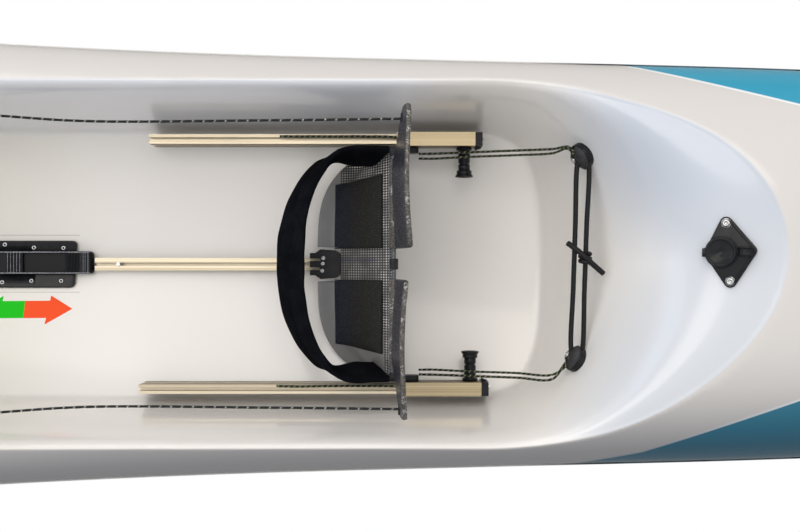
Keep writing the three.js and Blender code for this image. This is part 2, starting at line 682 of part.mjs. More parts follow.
// Side view of the footboard at a distance from its middle: heel shelf, slope and upright top edge
function boardProfile(y) {
  const sweep = BOARD.lobe * (Math.abs(y) / BOARD.halfWidth) ** 4;
  const heelX = FOOTBOARD_X - BOARD.heelReach + sweep;
  const topX = FOOTBOARD_X - BOARD.topBack;
  const heelZ = FOOTWELL_FLOOR + BOARD.heelHeight;
  const topZ = FOOTWELL_FLOOR + BOARD.topHeight;
  const shelfX = heelX + BOARD.shelf;
  const shelfZ = heelZ + BOARD.wall;
  return [[heelX, heelZ], [shelfX, shelfZ], [(shelfX + topX) / 2 - 2 * SEAT_GAP,
    (shelfZ + topZ - BOARD.bend) / 2],
    [topX, topZ - BOARD.bend], [topX + SEAT_GAP, topZ]];
}

// The profile moved square to itself; positive goes under the board
function offsetProfile(profile, distance) {
  return profile.map(([x, z], k) => {
    const before = profile[Math.max(0, k - 1)];
    const after = profile[Math.min(profile.length - 1, k + 1)];
    const run = after[0] - before[0];
    const rise = after[1] - before[1];
    const length = Math.hypot(run, rise);
    return [x + distance * rise / length, z - distance * run / length];
  });
}

function sheetAcross(inner, outer, columns, profileAt, near, far) {
  const sections = [];
  for (let column = 0; column <= columns; column += 1) {
    const y = inner + (outer - inner) * column / columns;
    const place = ([x, z]) => [x, y, z];
    const top = offsetProfile(profileAt(y), near).map(place);
    const under = offsetProfile(profileAt(y), far).map(place);
    sections.push([...top, ...under.reverse()]);
  }
  return loft(sections);
}

const lugPlaces = [0, 1, -1].map((side) => side * (BOARD.halfWidth - GUSSET_THICKNESS / 2));

function footboard() {
  const plate = sheetAcross(-BOARD.halfWidth, BOARD.halfWidth, BOARD.columns * 2, boardProfile, 0,
    BOARD.wall);
  const notchFront = FOOTBOARD_X - BOARD.heelReach + BOARD.notchDepth;
  const notch = box(BOARD.heelReach, BOARD.notchHalfWidth * 2, BOARD.topHeight,
    notchFront - BOARD.heelReach / 2, 0,
    FOOTWELL_FLOOR + BOARD.heelHeight);
  const arms = [];
  for (const side of [1, -1]) {
    const inner = BOARD.halfWidth - GUSSET_THICKNESS;
    const outer = sliderFace - SEAT_GAP;
    const arm = outline([[-GUSSET.aft, GUSSET.low], [GUSSET.fore, GUSSET.low], [GUSSET.fore, GUSSET.high],
      [GUSSET_THICKNESS - GUSSET.aft, GUSSET.high]]);
    arms.push(barY(arm, outer - inner, FOOTBOARD_X, side * (outer + inner) / 2, FOOTWELL_FLOOR));
  }
  const topZ = FOOTWELL_FLOOR + BOARD.topHeight;
  const lugs = [];
  const bores = [];
  for (const y of lugPlaces) {
    const width = y === 0 ? PEDAL.inner * 2 - GUSSET_THICKNESS : GUSSET_THICKNESS;
    const height = hingeHeight - topZ + BOARD.bend;
    lugs.push(box(PEDAL.hingeRadius * 2, width, height, hingeX, y, hingeHeight - height / 2));
    lugs.push(cylinderY(PEDAL.hingeRadius, width, hingeX, y, hingeHeight, 16));
    bores.push(cylinderY(HINGE_ROD_RADIUS + SEAT_GAP, width + OVERRUN, hingeX, y, hingeHeight, 16));
  }
  return cut(join(plate, ...arms, ...lugs), notch, ...bores);
}

// Grip pad that follows the slope of the board on one side
function heelPad(side) {
  const slope = (y) => boardProfile(y).slice(1, 4);
  const [inner, outer] = [side * PAD.inner, side * PAD.outer];
  return sheetAcross(inner, outer, PAD.columns, slope, -PAD.bond, -PAD.bond - PAD.height);
}

// Black carriage that hooks over the centre rail, with three prongs towards the seat
function heelCarriage() {
  const fore = FOOTBOARD_X - BOARD.heelReach + BOARD.notchDepth - SEAT_GAP;
  const aft = fore - CARRIAGE.length;
  const mid = aft + CARRIAGE.prong;
  const half = [[aft, CARRIAGE.aftHalfWidth], [aft + CARRIAGE.prong / 2, CARRIAGE.aftHalfWidth],
    [mid, CARRIAGE.halfWidth], [fore - CARRIAGE.slot * 2, CARRIAGE.shoulderHalfWidth], [fore,
    CARRIAGE.foreHalfWidth]];
  const shape = outline([...half, ...half.map(([x, y]) => [x, -y]).reverse()]);
  const base = centreRailTop + RUNNING_GAP;
  const body = plateXY(shape, CARRIAGE.height, base);
  const inner = CENTRE_RAIL.width / 2 + RUNNING_GAP;
  const legWidth = CARRIAGE.aftHalfWidth - inner;
  const cheeks = [1, -1].map((side) => box(CARRIAGE.length - CARRIAGE.prong, legWidth,
    CARRIAGE.leg + OVERRUN,
    (mid + fore) / 2, side * (inner + legWidth / 2), base - CARRIAGE.leg / 2 + OVERRUN / 2));
  const slots = [1, -1].map((side) => box(CARRIAGE.prong, CARRIAGE.slot, CARRIAGE.height * 2,
    aft + CARRIAGE.prong / 2 - SEAT_GAP, side * CARRIAGE.slotOffset, base));
  return cut(join(body, ...cheeks), ...slots);
}

// Pedal: a bowed plate that leans to the bow, on a barrel round the hinge rod
function pedal(side) {
  const width = PEDAL.tip - PEDAL.inner;
  const lean = side > 0 ? PEDAL.portLean : PEDAL.starboardLean;
  const sections = PEDAL_EDGE_SHARES.map(([across, low, high]) => {
    const y = side * (PEDAL.inner + width * across);
    const bow = PEDAL.bow * (2 * across - 1) ** 2;
    const heights = [low, (low + high) / 2, high].map((share) => share * PEDAL.height);
    const place = (offset) => (z) => [hingeX + bow + lean * z / PEDAL.height + offset, y, hingeHeight + z];
    const aft = heights.map(place(-PEDAL.wall / 2));
    const fore = heights.map(place(PEDAL.wall / 2));
    return [...aft, ...fore.reverse()];
  });
  const plate = loft(sections);
  const barrelWidth = PEDAL.barrelOuter - PEDAL.inner;
  const barrelY = side * (PEDAL.inner + barrelWidth / 2);
  const barrel = cylinderY(PEDAL.hingeRadius, barrelWidth, hingeX, barrelY, hingeHeight, 16);
  const bore = cylinderY(HINGE_ROD_RADIUS + SEAT_GAP, barrelWidth * 2, hingeX, barrelY, hingeHeight, 16);
  const eye = cylinderX(LINE_EYE_RADIUS, PEDAL.height, hingeX, side * LINE.y, lineHeight, 14);
  return cut(join(plate, barrel), bore, eye);
}

// Padded strap over the insteps, from one side edge of the board round to the other
function footStrap() {
  const halfWidth = BOARD.halfWidth + SEAT_GAP + STRAP.pad / 2;
  const route = STRAP_ROUTE_SHARES.map(([across, aft, rise]) => new THREE.Vector3(
    FOOTBOARD_X - STRAP.reach * aft, halfWidth * across, FOOTWELL_FLOOR + STRAP.sideHeight
    + (STRAP.rise - STRAP.sideHeight) * (rise - 0.5) * 2));
  const mirrored = route.slice(0, -1).reverse().map((point) => new THREE.Vector3(point.x, -point.y,
    point.z));
  const curve = new THREE.CatmullRomCurve3([...route, ...mirrored], false, 'centripetal');
  const sections = [];
  for (let step = 0; step <= STRAP.steps; step += 1) {
    const share = step / STRAP.steps;
    const centre = curve.getPoint(share);
    const along = curve.getTangent(share);
    const lean = Math.sin(share * Math.PI) ** 1.5 * STRAP_LEAN;
    const outward = new THREE.Vector3(-along.y, along.x, 0).normalize().multiplyScalar(-1);
    if (outward.x > 0 && Math.abs(centre.y) < BOARD.halfWidth * 0.9) outward.multiplyScalar(-1);
    const across = new THREE.Vector3(0, 0, Math.cos(lean)).addScaledVector(outward, -Math.sin(lean));
    const face = new THREE.Vector3(0, 0, Math.sin(lean)).addScaledVector(outward, Math.cos(lean));
    sections.push(STRAP_SECTION_SHARES.map(([u, v]) => centre.clone().addScaledVector(across,
      u * STRAP.width)
      .addScaledVector(face, v * STRAP.pad).toArray()));
  }
  return loft(sections);
}

addMesh('footboard', footboard(), 'carbon');
addMesh('heel_carriage', heelCarriage(), 'black');
addMesh('pedal_hinge_rod', cylinderY(HINGE_ROD_RADIUS, BOARD.halfWidth * 2, hingeX, 0, hingeHeight, 16),
  'steel');
addMesh('foot_strap', footStrap(), 'fabric');
for (const [name, side] of [['port', 1], ['starboard', -1]]) {
  addMesh(`${name}_heel_pad`, heelPad(side), 'rubber');
  addMesh(`${name}_pedal`, pedal(side), 'carbon');
}

// Sizes of the fittings on the deck
const BLOCK = { portX: 750, portY: 122, starboardX: 747, starboardY: 109, radius: 15, height: 8, skirt: 3,
  dome: 6, hood: 9,
  channel: 9.2, screwRadius: 4.2, turn: Math.PI / 4 };
const BUNGEE = { diameter: 5.6, pitch: 12.6, inset: 24, rise: 9.8, knotRadius: 6.4, knotLength: 15,
  tailX: 20.3, tailY: 17.2, tailDrop: 1 };
const DRAIN = { x: 877, y: 11, baseHeight: 3.4, reach: 36, collarRadius: 16, capRadius: 13.4,
  capHeight: 7, skirt: 3,
  spigotRadius: 9, spigotDepth: 16, screwRadius: 4, tetherWidth: 5, tetherHeight: 1.4 };
// Shares of the base's reach, round its outline from the port screw lobe by the bow to the starboard one
const DRAIN_OUTLINE_SHARES = [[0, 0.98], [0.32, 0.98], [0.5, 0.74], [1.02, 0.24], [1.12, 0], [1.02, -0.2],
  [0.6, -0.74],
  [0.44, -0.98], [0.1, -0.98], [-0.3, -0.4], [-0.44, 0], [-0.3, 0.4]];
const BAILER = { aft: 4, fore: 146, halfWidth: 29, plate: 3.2, corner: 9, ductAft: 20, ductFore: 118,
  ductHalfWidth: 20,
  ductWall: 3, slotAft: 42, slotFore: 96, slotHalfWidth: 8, screwRadius: 2.9 };
const BAILER_HANDLE = { aft: 47, fore: 167.5, halfWidth: 14, height: 12, web: 4.5 };
const BAILER_FLAP = { height: 3, hingeRadius: 2.2, clearance: 0.6 };
const HANDLE = { bowInset: 245, sternInset: 495, span: 120, rise: 34, diameter: 9, steps: 14 };
const RUDDER = { bracketThickness: 6, bracketHalfWidth: 11, bracketBase: 150, bracketHeight: 84,
  lugHeight: 10,
  axisOffset: 30, pinRadius: 4, headRadius: 9, gap: 0.5, cheek: 3, bladeWall: 6.2, pivotOffset: 40,
  pivotHeight: 190, boltRadius: 3, cheekHeight: 44, yokeHeight: 266, yokeThickness: 6, yokeReach: 40,
  yokeEye: 34, yokeWidth: 8, bladeLength: 300, bladeChord: 84 };
const BULKHEAD_TOP_SHARE = 0.9;
const BULKHEAD = { thickness: 12, inset: 0.3, aftStretch: 4, foreStretch: 19 };

// The frame of a fitting on the deck: its place and the turn from upright to square on the surface
function deckPlace(x, y) {
  const turn = new THREE.Quaternion().setFromUnitVectors(new THREE.Vector3(0, 0, 1), deckNormal(x, y));
  return new THREE.Matrix4().compose(new THREE.Vector3(x, y, deckTop(x, y)), turn,
    new THREE.Vector3(1, 1, 1));
}

// A dome on a short cylinder, its profile run round the vertical
function domed(radius, height, dome, base, sides = 22) {
  const profile = [new THREE.Vector2(0, base), new THREE.Vector2(radius, base),
    new THREE.Vector2(radius, height)];
  for (let k = 1; k <= 4; k += 1) {
    const angle = (k / 4) * Math.PI / 2;
    profile.push(new THREE.Vector2(k === 4 ? 0 : radius * Math.cos(angle), height + dome * Math.sin(angle)));
  }
  return new THREE.LatheGeometry(profile, sides).rotateX(Math.PI / 2);
}

// The frames of the two turning blocks, which aren't quite opposite each other
const blockX = (side) => (side > 0 ? BLOCK.portX : BLOCK.starboardX);
const blockY = (side) => (side > 0 ? BLOCK.portY : -BLOCK.starboardY);
const blockFrame = (side) => deckPlace(blockX(side), blockY(side));

// Half space beyond a slanting channel across the block, as a large box
function beyondChannel(side, direction) {
  const size = BLOCK.radius * 3;
  const half = box(size, size, size, direction * (size / 2 + BLOCK.channel / 2), 0, BLOCK.height + size / 2);
  return half.rotateZ(side * BLOCK.turn);
}

// Turning block: round base, low dome on the near side of the channel, and a screw
function blockBase(side) {
  const body = domed(BLOCK.radius, BLOCK.height, BLOCK.dome, -BLOCK.skirt);
  const span = BLOCK.radius * 3;
  const height = BLOCK.height + BLOCK.dome;
  const channel = box(BLOCK.channel + span, span, BLOCK.dome * 2, span / 2 - BLOCK.channel / 2, 0, height);
  return seatOnDeck(cut(body, channel.rotateZ(side * BLOCK.turn)).applyMatrix4(blockFrame(side)));
}

function blockHood(side) {
  const dome = domed(BLOCK.radius + SEAT_GAP, BLOCK.height + SEAT_GAP * 4, BLOCK.hood,
    BLOCK.height + SEAT_GAP);
  const kept = toSolid(dome).intersect(toSolid(beyondChannel(side, 1)));
  return toGeometry(kept).applyMatrix4(blockFrame(side));
}

const blockPoint = (side, across, along, up) => new THREE.Vector3(across, along, up)
  .applyAxisAngle(new THREE.Vector3(0, 0, 1), side * BLOCK.turn).applyMatrix4(blockFrame(side)).toArray();

function blockScrew(side) {
  const reach = (BLOCK.radius + BLOCK.channel / 2) / 2;
  const low = BLOCK.height + BLOCK.dome / 2;
  const head = cylinderZ(BLOCK.screwRadius, BLOCK.dome, -reach, 0, low + BLOCK.dome / 2, 12);
  return cut(head.rotateZ(side * BLOCK.turn).applyMatrix4(blockFrame(side)), blockBase(side));
}

// Two strands between the blocks, closed by a bend at each end and tied with a knot near the middle
function bungeeLoop() {
  const half = BUNGEE.pitch / 2;
  const seat = (side) => new THREE.Vector3(blockX(side), blockY(side) - side * BUNGEE.inset,
    deckTop(blockX(side), blockY(side)) + BUNGEE.rise);
  const points = [];
  for (const side of [1, -1]) {
    const end = seat(side);
    for (let k = 0; k <= 4; k += 1) {
      const angle = side * (k / 4 - 0.5) * Math.PI;
      points.push([end.x + half * Math.sin(angle), end.y + side * half * Math.cos(angle), end.z]);
    }
    for (const share of [1 / 3, 2 / 3]) {
      const point = end.clone().lerp(seat(-side), share);
      points.push([point.x + side * half, point.y, point.z]);
    }
  }
  const loop = cordAlong(points, BUNGEE.diameter, 28, 8, true);
  const { x, y, z } = seat(1).lerp(seat(-1), 0.5);
  const knotX = x + half;
  const knot = new THREE.CapsuleGeometry(BUNGEE.knotRadius, BUNGEE.knotLength - BUNGEE.knotRadius, 2, 8)
    .rotateZ(BLOCK.turn).translate(knotX, y, z);
  const end = (side) => [knotX + side * BUNGEE.tailX, y - side * BUNGEE.tailY, z - BUNGEE.tailDrop];
  return join(loop, knot, cordAlong([end(-1), [knotX, y, z], end(1)], BUNGEE.diameter, 6, 8));
}

// Cord loop from the arm of the footboard, past the pull pin, into the turning block's channel and back
const FORWARD_ROUTE = [[16, 131, 119], [54, 131.5, 128], [113, 131, 156], [150, 130, 181]];
const FORWARD_RETURN = [[150, 125.5, 178], [113, 126, 152], [54, 126.5, 124], [16, 125.5, 114]];

function forwardLine(side) {
  const start = FOOTBOARD_X + GUSSET.fore + SEAT_GAP;
  const strand = LINE.diameter / 2 + RUNNING_GAP;
  const height = BLOCK.height + LINE.diameter / 2 + RUNNING_GAP;
  const place = ([x, y, z]) => [start + x, side * y, z];
  const channel = (across, along) => blockPoint(side, -side * across, side * along, height);
  const bend = [0, 1, 2, 3, 4].map((k) => (
    channel(-strand * Math.cos(k * Math.PI / 4), -strand * Math.sin(k * Math.PI / 4))));
  const route = [place([0, 131, 117]), ...FORWARD_ROUTE.map(place), channel(-strand, BLOCK.radius), ...bend,
    channel(strand, BLOCK.radius), ...FORWARD_RETURN.map(place), place([0, 126, 111])];
  return cordThrough(route, LINE.diameter, 2, 6);
}

// Free tail of the adjusting cord, lying on top of the rail
const TAIL_ROUTES = {
  port: [[541, 149, 3.8], [532, 149.5, 2.8], [505, 150, 1.7], [460, 150, 1.7], [425, 150, 1.7],
    [404, 150, 1.7]],
  starboard: [[548, -143.5, 3.8], [539, -143.2, 2.8], [510, -143, 1.7], [460, -143, 1.7], [425, -143.5, 1.7],
    [400, -143, 1.7]],
};

function cordTail(name) {
  return cordAlong(TAIL_ROUTES[name].map(([x, y, z]) => [x, y, railTop + z]), LINE.diameter, 18, 6);
}

// Visible stretch of a steering line, from the pedal's eye down along the footwell wall to its conduit
const LINE_ROUTE = [[549, 156, 244.4], [400, 156, 231], [200, 157.5, 213], [110, 164, 203.5],
  [24, 172.2, 196.6]];
const COCKPIT_ROUTE = [[34, 171.2, 197.6], [0, 175, 194], [-40, 183, 188], [-100, 200, 178],
  [-200, 218, 172],
  [-340, 226, 172], [-600, 222, 172], [-1000, 190, 180]];
const STERN_ROUTE = [[1245, 145, 186], [745, 95, 196], [415, 55, 214], [305, 40, 232], [240, 33, 253],
  [195, 30, 265],
  [170, 30, 266], [153, 30, 266]];
const CONDUIT_ROUTE = [...COCKPIT_ROUTE, ...STERN_ROUTE.map(([x, y, z]) => [x - HALF_LENGTH, y, z])];

const REAR_ROUTE = [[157, 30, 265.8], [105, 31, 266]];

const mirrorRoute = (route, side) => route.map(([x, y, z]) => [x, side * y, z]);

function conduit(side) {
  const route = mirrorRoute(CONDUIT_ROUTE, side);
  const outer = toSolid(cordAlong(route, CONDUIT.diameter, CONDUIT.steps, CONDUIT.sides));
  const past = CONDUIT_ROUTE.length - 1;
  const lengthened = route.map((point) => [...point]);
  lengthened[0][0] += OVERRUN;
  lengthened[past][0] -= OVERRUN;
  return toGeometry(outer.subtract(toSolid(cordAlong(lengthened, CONDUIT.bore, CONDUIT.steps,
    CONDUIT.sides))));
}

const rudderAxisX = -HALF_LENGTH - RUDDER.axisOffset;

function rearLine(side) {
  const route = REAR_ROUTE.map(([x, y, z]) => [x - HALF_LENGTH, side * y, z]);
  const end = [rudderAxisX + RUDDER.yokeWidth / 2 + SEAT_GAP * 2, side * RUDDER.yokeEye, RUDDER.yokeHeight];
  return cordAlong([...route, end], LINE.diameter, 6, 8);
}

const conduitHoles = [1, -1].map((side) => cordAlong(mirrorRoute(CONDUIT_ROUTE, side),
  CONDUIT.diameter + SEAT_GAP * 4,
  CONDUIT.steps, CONDUIT.sides));

// Bailer: plate on the floor, duct to the hull's bottom, sliding handle and hinged flap
const bailerLength = BAILER.fore - BAILER.aft;
const bailerMid = (BAILER.fore + BAILER.aft) / 2;
const ductLength = BAILER.ductFore - BAILER.ductAft;
const ductMid = (BAILER.ductFore + BAILER.ductAft) / 2;

function bailerPlate() {
  const shape = roundedRectangle(bailerLength, BAILER.halfWidth * 2, BAILER.corner);
  const plate = plateXY(shape, BAILER.plate, FOOTWELL_FLOOR + SEAT_GAP * 8, 4).translate(bailerMid, 0, 0);
  const slotLength = BAILER.slotFore - BAILER.slotAft;
  const slot = box(slotLength, BAILER.slotHalfWidth * 2, BAILER.plate * 4,
    (BAILER.slotFore + BAILER.slotAft) / 2, 0, FOOTWELL_FLOOR);
  return cut(plate, slot);
}

function ductHole(height, z, gap) {
  return box(ductLength + gap * 2, (BAILER.ductHalfWidth + gap) * 2, height, ductMid, 0, z);
}

function bailerDuct() {
  const top = FOOTWELL_FLOOR + SEAT_GAP * 7;
  const height = top - SEAT_GAP;
  const outer = ductHole(height, SEAT_GAP + height / 2, 0);
  return cut(outer, ductHole(height * 2, height / 2, -BAILER.ductWall));
}

function bailerHandle() {
  const { aft, fore, height, web } = BAILER_HANDLE;
  const length = fore - aft;
  const profile = outline([[aft, 0], [fore, 0], [fore, height / 2], [fore - height / 2, height],
    [fore - length * 0.3, height],
    [fore - length * 0.34, web], [aft + length * 0.3, web], [aft + length * 0.24,
    height], [aft + length * 0.08, height],
    [aft, height / 2]]);
  return barY(profile, BAILER_HANDLE.halfWidth * 2, 0, 0, FOOTWELL_FLOOR + SEAT_GAP * 9 + BAILER.plate);
}

function bailerFlap() {
  const gap = BAILER.ductWall + BAILER_FLAP.clearance;
  const aft = BAILER.ductAft + gap;
  const fore = BAILER.ductFore - gap - BAILER_FLAP.hingeRadius;
  const width = (BAILER.ductHalfWidth - gap) * 2;
  const leaf = box(fore - aft, width, BAILER_FLAP.height, (fore + aft) / 2, 0,
    BAILER_FLAP.height / 2 + SEAT_GAP);
  return join(leaf, cylinderY(BAILER_FLAP.hingeRadius, width, fore, 0, BAILER_FLAP.hingeRadius + SEAT_GAP,
    12));
}

// Drain fitting on the slope of the bowl: base, plug and the strap that keeps them together
const drainPlace = deckPlace(DRAIN.x, DRAIN.y);
const drainTop = DRAIN.baseHeight + SEAT_GAP;

function drainBase() {
  const shape = outline(DRAIN_OUTLINE_SHARES.map(([u, v]) => [u * DRAIN.reach, v * DRAIN.reach]));
  const plate = plateXY(shape, DRAIN.baseHeight + DRAIN.skirt, -DRAIN.skirt);
  const bore = cylinderZ(DRAIN.spigotRadius + RUNNING_GAP, DRAIN.spigotDepth * 2, 0, 0, 0);
  return seatOnDeck(cut(plate, bore).applyMatrix4(drainPlace));
}

function drainPlug() {
  const cap = domed(DRAIN.capRadius, drainTop + DRAIN.capHeight, 1, drainTop);
  const grip = box(DRAIN.capRadius * 1.3, DRAIN.capRadius * 0.4, DRAIN.capHeight, 0, 0,
    drainTop + DRAIN.capHeight * 1.1);
  const spigot = cylinderZ(DRAIN.spigotRadius, DRAIN.spigotDepth, 0, 0,
    drainTop + 1 - DRAIN.spigotDepth / 2);
  return cut(join(cap, spigot), grip).applyMatrix4(drainPlace);
}

function drainTether() {
  const low = drainTop + DRAIN.tetherHeight;
  const near = DRAIN.capRadius + RUNNING_GAP * 2;
  const far = DRAIN.reach;
  const arch = outline([[near, drainTop], [far, drainTop], [far, low],
    [far - near / 3, low + DRAIN.capHeight / 2],
    [near + near / 4, low + DRAIN.capHeight / 2], [near, low]]);
  return barY(arch, DRAIN.tetherWidth, 0, 0, 0).applyMatrix4(drainPlace);
}

// Rudder hung on the stern: bracket, shaft with its yoke, head, kick-up blade and pivot bolt
const transomX = -HALF_LENGTH - SEAT_GAP;
const lugTop = RUDDER.bracketBase + RUDDER.bracketHeight;
const pivotX = rudderAxisX - RUDDER.pivotOffset;

function rudderBracket() {
  const plate = box(RUDDER.bracketThickness, RUDDER.bracketHalfWidth * 2, RUDDER.bracketHeight,
    transomX - RUDDER.bracketThickness / 2, 0, RUDDER.bracketBase + RUDDER.bracketHeight / 2);
  const reach = transomX - rudderAxisX;
  const lug = (z) => join(box(reach, RUDDER.headRadius * 2, RUDDER.lugHeight, rudderAxisX + reach / 2, 0, z),
    cylinderZ(RUDDER.headRadius, RUDDER.lugHeight, rudderAxisX, 0, z));
  const whole = join(plate, lug(RUDDER.bracketBase + RUDDER.lugHeight / 2),
    lug(lugTop - RUDDER.lugHeight / 2));
  return cut(whole, cylinderZ(RUDDER.pinRadius + RUNNING_GAP, RUDDER.bracketHeight * 2, rudderAxisX, 0,
    lugTop));
}

function rudderShaft() {
  const low = RUDDER.bracketBase - RUDDER.lugHeight / 2;
  const high = RUDDER.yokeHeight;
  const pin = cylinderZ(RUDDER.pinRadius, high - low, rudderAxisX, 0, (high + low) / 2);
  const bar = box(RUDDER.yokeWidth, RUDDER.yokeReach * 2, RUDDER.yokeThickness, rudderAxisX, 0, high);
  const hub = cylinderZ(RUDDER.headRadius, RUDDER.yokeThickness, rudderAxisX, 0, high);
  return join(pin, bar, hub);
}

function rudderHead() {
  const low = RUDDER.bracketBase + RUDDER.lugHeight + RUDDER.gap;
  const high = lugTop - RUDDER.lugHeight - RUDDER.gap;
  const sleeve = cylinderZ(RUDDER.headRadius, high - low, rudderAxisX, 0, (low + high) / 2);
  const length = RUDDER.pivotOffset + RUDDER.boltRadius * 4;
  const offset = RUDDER.bladeWall / 2 + RUDDER.gap + RUDDER.cheek / 2;
  const cheek = (side) => box(length, RUDDER.cheek, RUDDER.cheekHeight, rudderAxisX - length / 2,
    side * offset, RUDDER.pivotHeight);
  const bore = cylinderZ(RUDDER.pinRadius + SEAT_GAP, RUDDER.bracketHeight * 2, rudderAxisX, 0, low);
  const boltBore = cylinderY(RUDDER.boltRadius + SEAT_GAP, RUDDER.headRadius * 4, pivotX, 0,
    RUDDER.pivotHeight);
  return cut(join(sleeve, cheek(1), cheek(-1)), bore, boltBore);
}

// Shares of the blade's length aft of the pivot, then of its chord above the pivot
const BLADE_OUTLINE_SHARES = [[-0.045, -0.08], [-0.045, 0.12], [0, 0.2], [0.2, 0.46], [0.5, 0.66],
  [0.8, 0.68], [0.95, 0.56],
  [1, 0.36], [0.97, 0.06], [0.8, -0.2], [0.5, -0.32], [0.2, -0.28], [0, -0.18]];

function rudderBlade() {
  const shape = outline(BLADE_OUTLINE_SHARES.map(([u, v]) => [-u * RUDDER.bladeLength,
    v * RUDDER.bladeChord]));
  const blade = barY(shape, RUDDER.bladeWall, pivotX, 0, RUDDER.pivotHeight);
  return cut(blade, cylinderY(RUDDER.boltRadius + RUNNING_GAP, RUDDER.bladeWall * 2, pivotX, 0,
    RUDDER.pivotHeight));
}

function rudderBolt() {
  const half = RUDDER.bladeWall / 2 + RUDDER.gap + RUDDER.cheek + SEAT_GAP;
  const head = (side) => cylinderY(RUDDER.boltRadius * 2, RUDDER.boltRadius, pivotX,
    side * (half + RUDDER.boltRadius / 2), RUDDER.pivotHeight, 6);
  return join(cylinderY(RUDDER.boltRadius, half * 2 + RUDDER.boltRadius, pivotX, 0, RUDDER.pivotHeight),
    head(1), head(-1));
}

// Foam bulkhead that fills the boat's section in the middle of one stretch between stations
function bulkhead(stretch) {
  const wall = HULL_WALL + BULKHEAD.inset;
  const sections = [HULL_STATIONS[stretch], HULL_STATIONS[stretch + 1]].map((x) => {
    const lower = [];
    const upper = [];
    for (let column = -HULL_COLUMNS; column <= HULL_COLUMNS; column += 1) {
      if (column === 0) continue;
      const [, y, z] = hullPoint(x, (Math.abs(column) - 1) / (HULL_COLUMNS - 1), wall);
      const inboard = Math.sign(column) * y * BULKHEAD_TOP_SHARE;
      lower.push([x, Math.sign(column) * y, z]);
      upper.push([x, inboard, deckTop(x, inboard) - (DECK_WALL + BULKHEAD.inset) / STEEPEST_WALL_SHARE]);
    }
    return [...lower, ...upper.reverse()];
  });
  const middle = (HULL_STATIONS[stretch] + HULL_STATIONS[stretch + 1]) / 2;
  const slab = box(BULKHEAD.thickness, MAX_HALF_BEAM * 3, SHEER_HEIGHT * 4, middle, 0, SHEER_HEIGHT);
  return seatOn(hullPlain, toGeometry(toSolid(loft(sections)).intersect(toSolid(slab))));
}

// Carry handle: an arch along the middle of the deck
function carryHandle(x) {
  const end = HANDLE.span / 2;
  const point = (along, up) => [x + along, 0, deckTop(x + along, 0) + up];
  const route = [point(-end, -DECK_WALL), point(-end * 0.86, HANDLE.rise * 0.6),
    point(-end * 0.5, HANDLE.rise),
    point(end * 0.5, HANDLE.rise), point(end * 0.86, HANDLE.rise * 0.6), point(end, -DECK_WALL)];
  return seatOnDeck(cordAlong(route, HANDLE.diameter, HANDLE.steps, 8));
}

const drainBore = cylinderZ(DRAIN.spigotRadius + SEAT_GAP * 3, DRAIN.spigotDepth * 2, 0, 0,
  0).applyMatrix4(drainPlace);
const ductOpening = ductHole(FOOTWELL_FLOOR * 4, 0, SEAT_GAP);

addMesh('hull_shell', cut(hullShell(), ductOpening, ...conduitHoles), 'hull');
addMesh('deck_shell', cut(deckShell(), ductOpening, drainBore, ...conduitHoles), 'gelcoat');
addMesh('bailer_plate', bailerPlate(), 'black');
addMesh('bailer_duct', bailerDuct(), 'black');
addMesh('bailer_handle', bailerHandle(), 'rubber');
addMesh('bailer_flap', bailerFlap(), 'black');
addMesh('bungee_loop', bungeeLoop(), 'cord');
addMesh('drain_base', drainBase(), 'black');
addMesh('drain_plug', drainPlug(), 'plug');
addMesh('drain_tether', drainTether(), 'rubber');
addMesh('rudder_bracket', rudderBracket(), 'steel');
addMesh('rudder_shaft', rudderShaft(), 'steel');
addMesh('rudder_head', rudderHead(), 'black');
addMesh('rudder_blade', rudderBlade(), 'carbon');
addMesh('rudder_pivot_bolt', rudderBolt(), 'steel');
addMesh('stern_bulkhead', cut(bulkhead(BULKHEAD.aftStretch), ...conduitHoles), 'foam');
addMesh('bow_bulkhead', bulkhead(BULKHEAD.foreStretch), 'foam');
addMesh('bow_carry_handle', carryHandle(HALF_LENGTH - HANDLE.bowInset), 'rubber');
addMesh('stern_carry_handle', carryHandle(HANDLE.sternInset - HALF_LENGTH), 'rubber');
for (const [name, side] of [['port', 1], ['starboard', -1]]) {
  addMesh(`${name}_turning_block`, blockBase(side), 'black');
  addMesh(`${name}_block_hood`, blockHood(side), 'black');
  addMesh(`${name}_block_screw`, blockScrew(side), 'steel');
  addMesh(`${name}_forward_cord`, forwardLine(side), 'cord');
  addMesh(`${name}_cord_tail`, cordTail(name), 'cord');
  addMesh(`${name}_steering_line`, cordAlong(mirrorRoute(LINE_ROUTE, side), LINE.diameter, 12, 8), 'cord');
  addMesh(`${name}_rear_steering_line`, rearLine(side), 'cord');
  addMesh(`${name}_line_conduit`, conduit(side), 'black');
}

export default boat;
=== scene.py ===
"""Surfski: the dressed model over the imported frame, in metres, bow along +X, port along +Y."""
import math

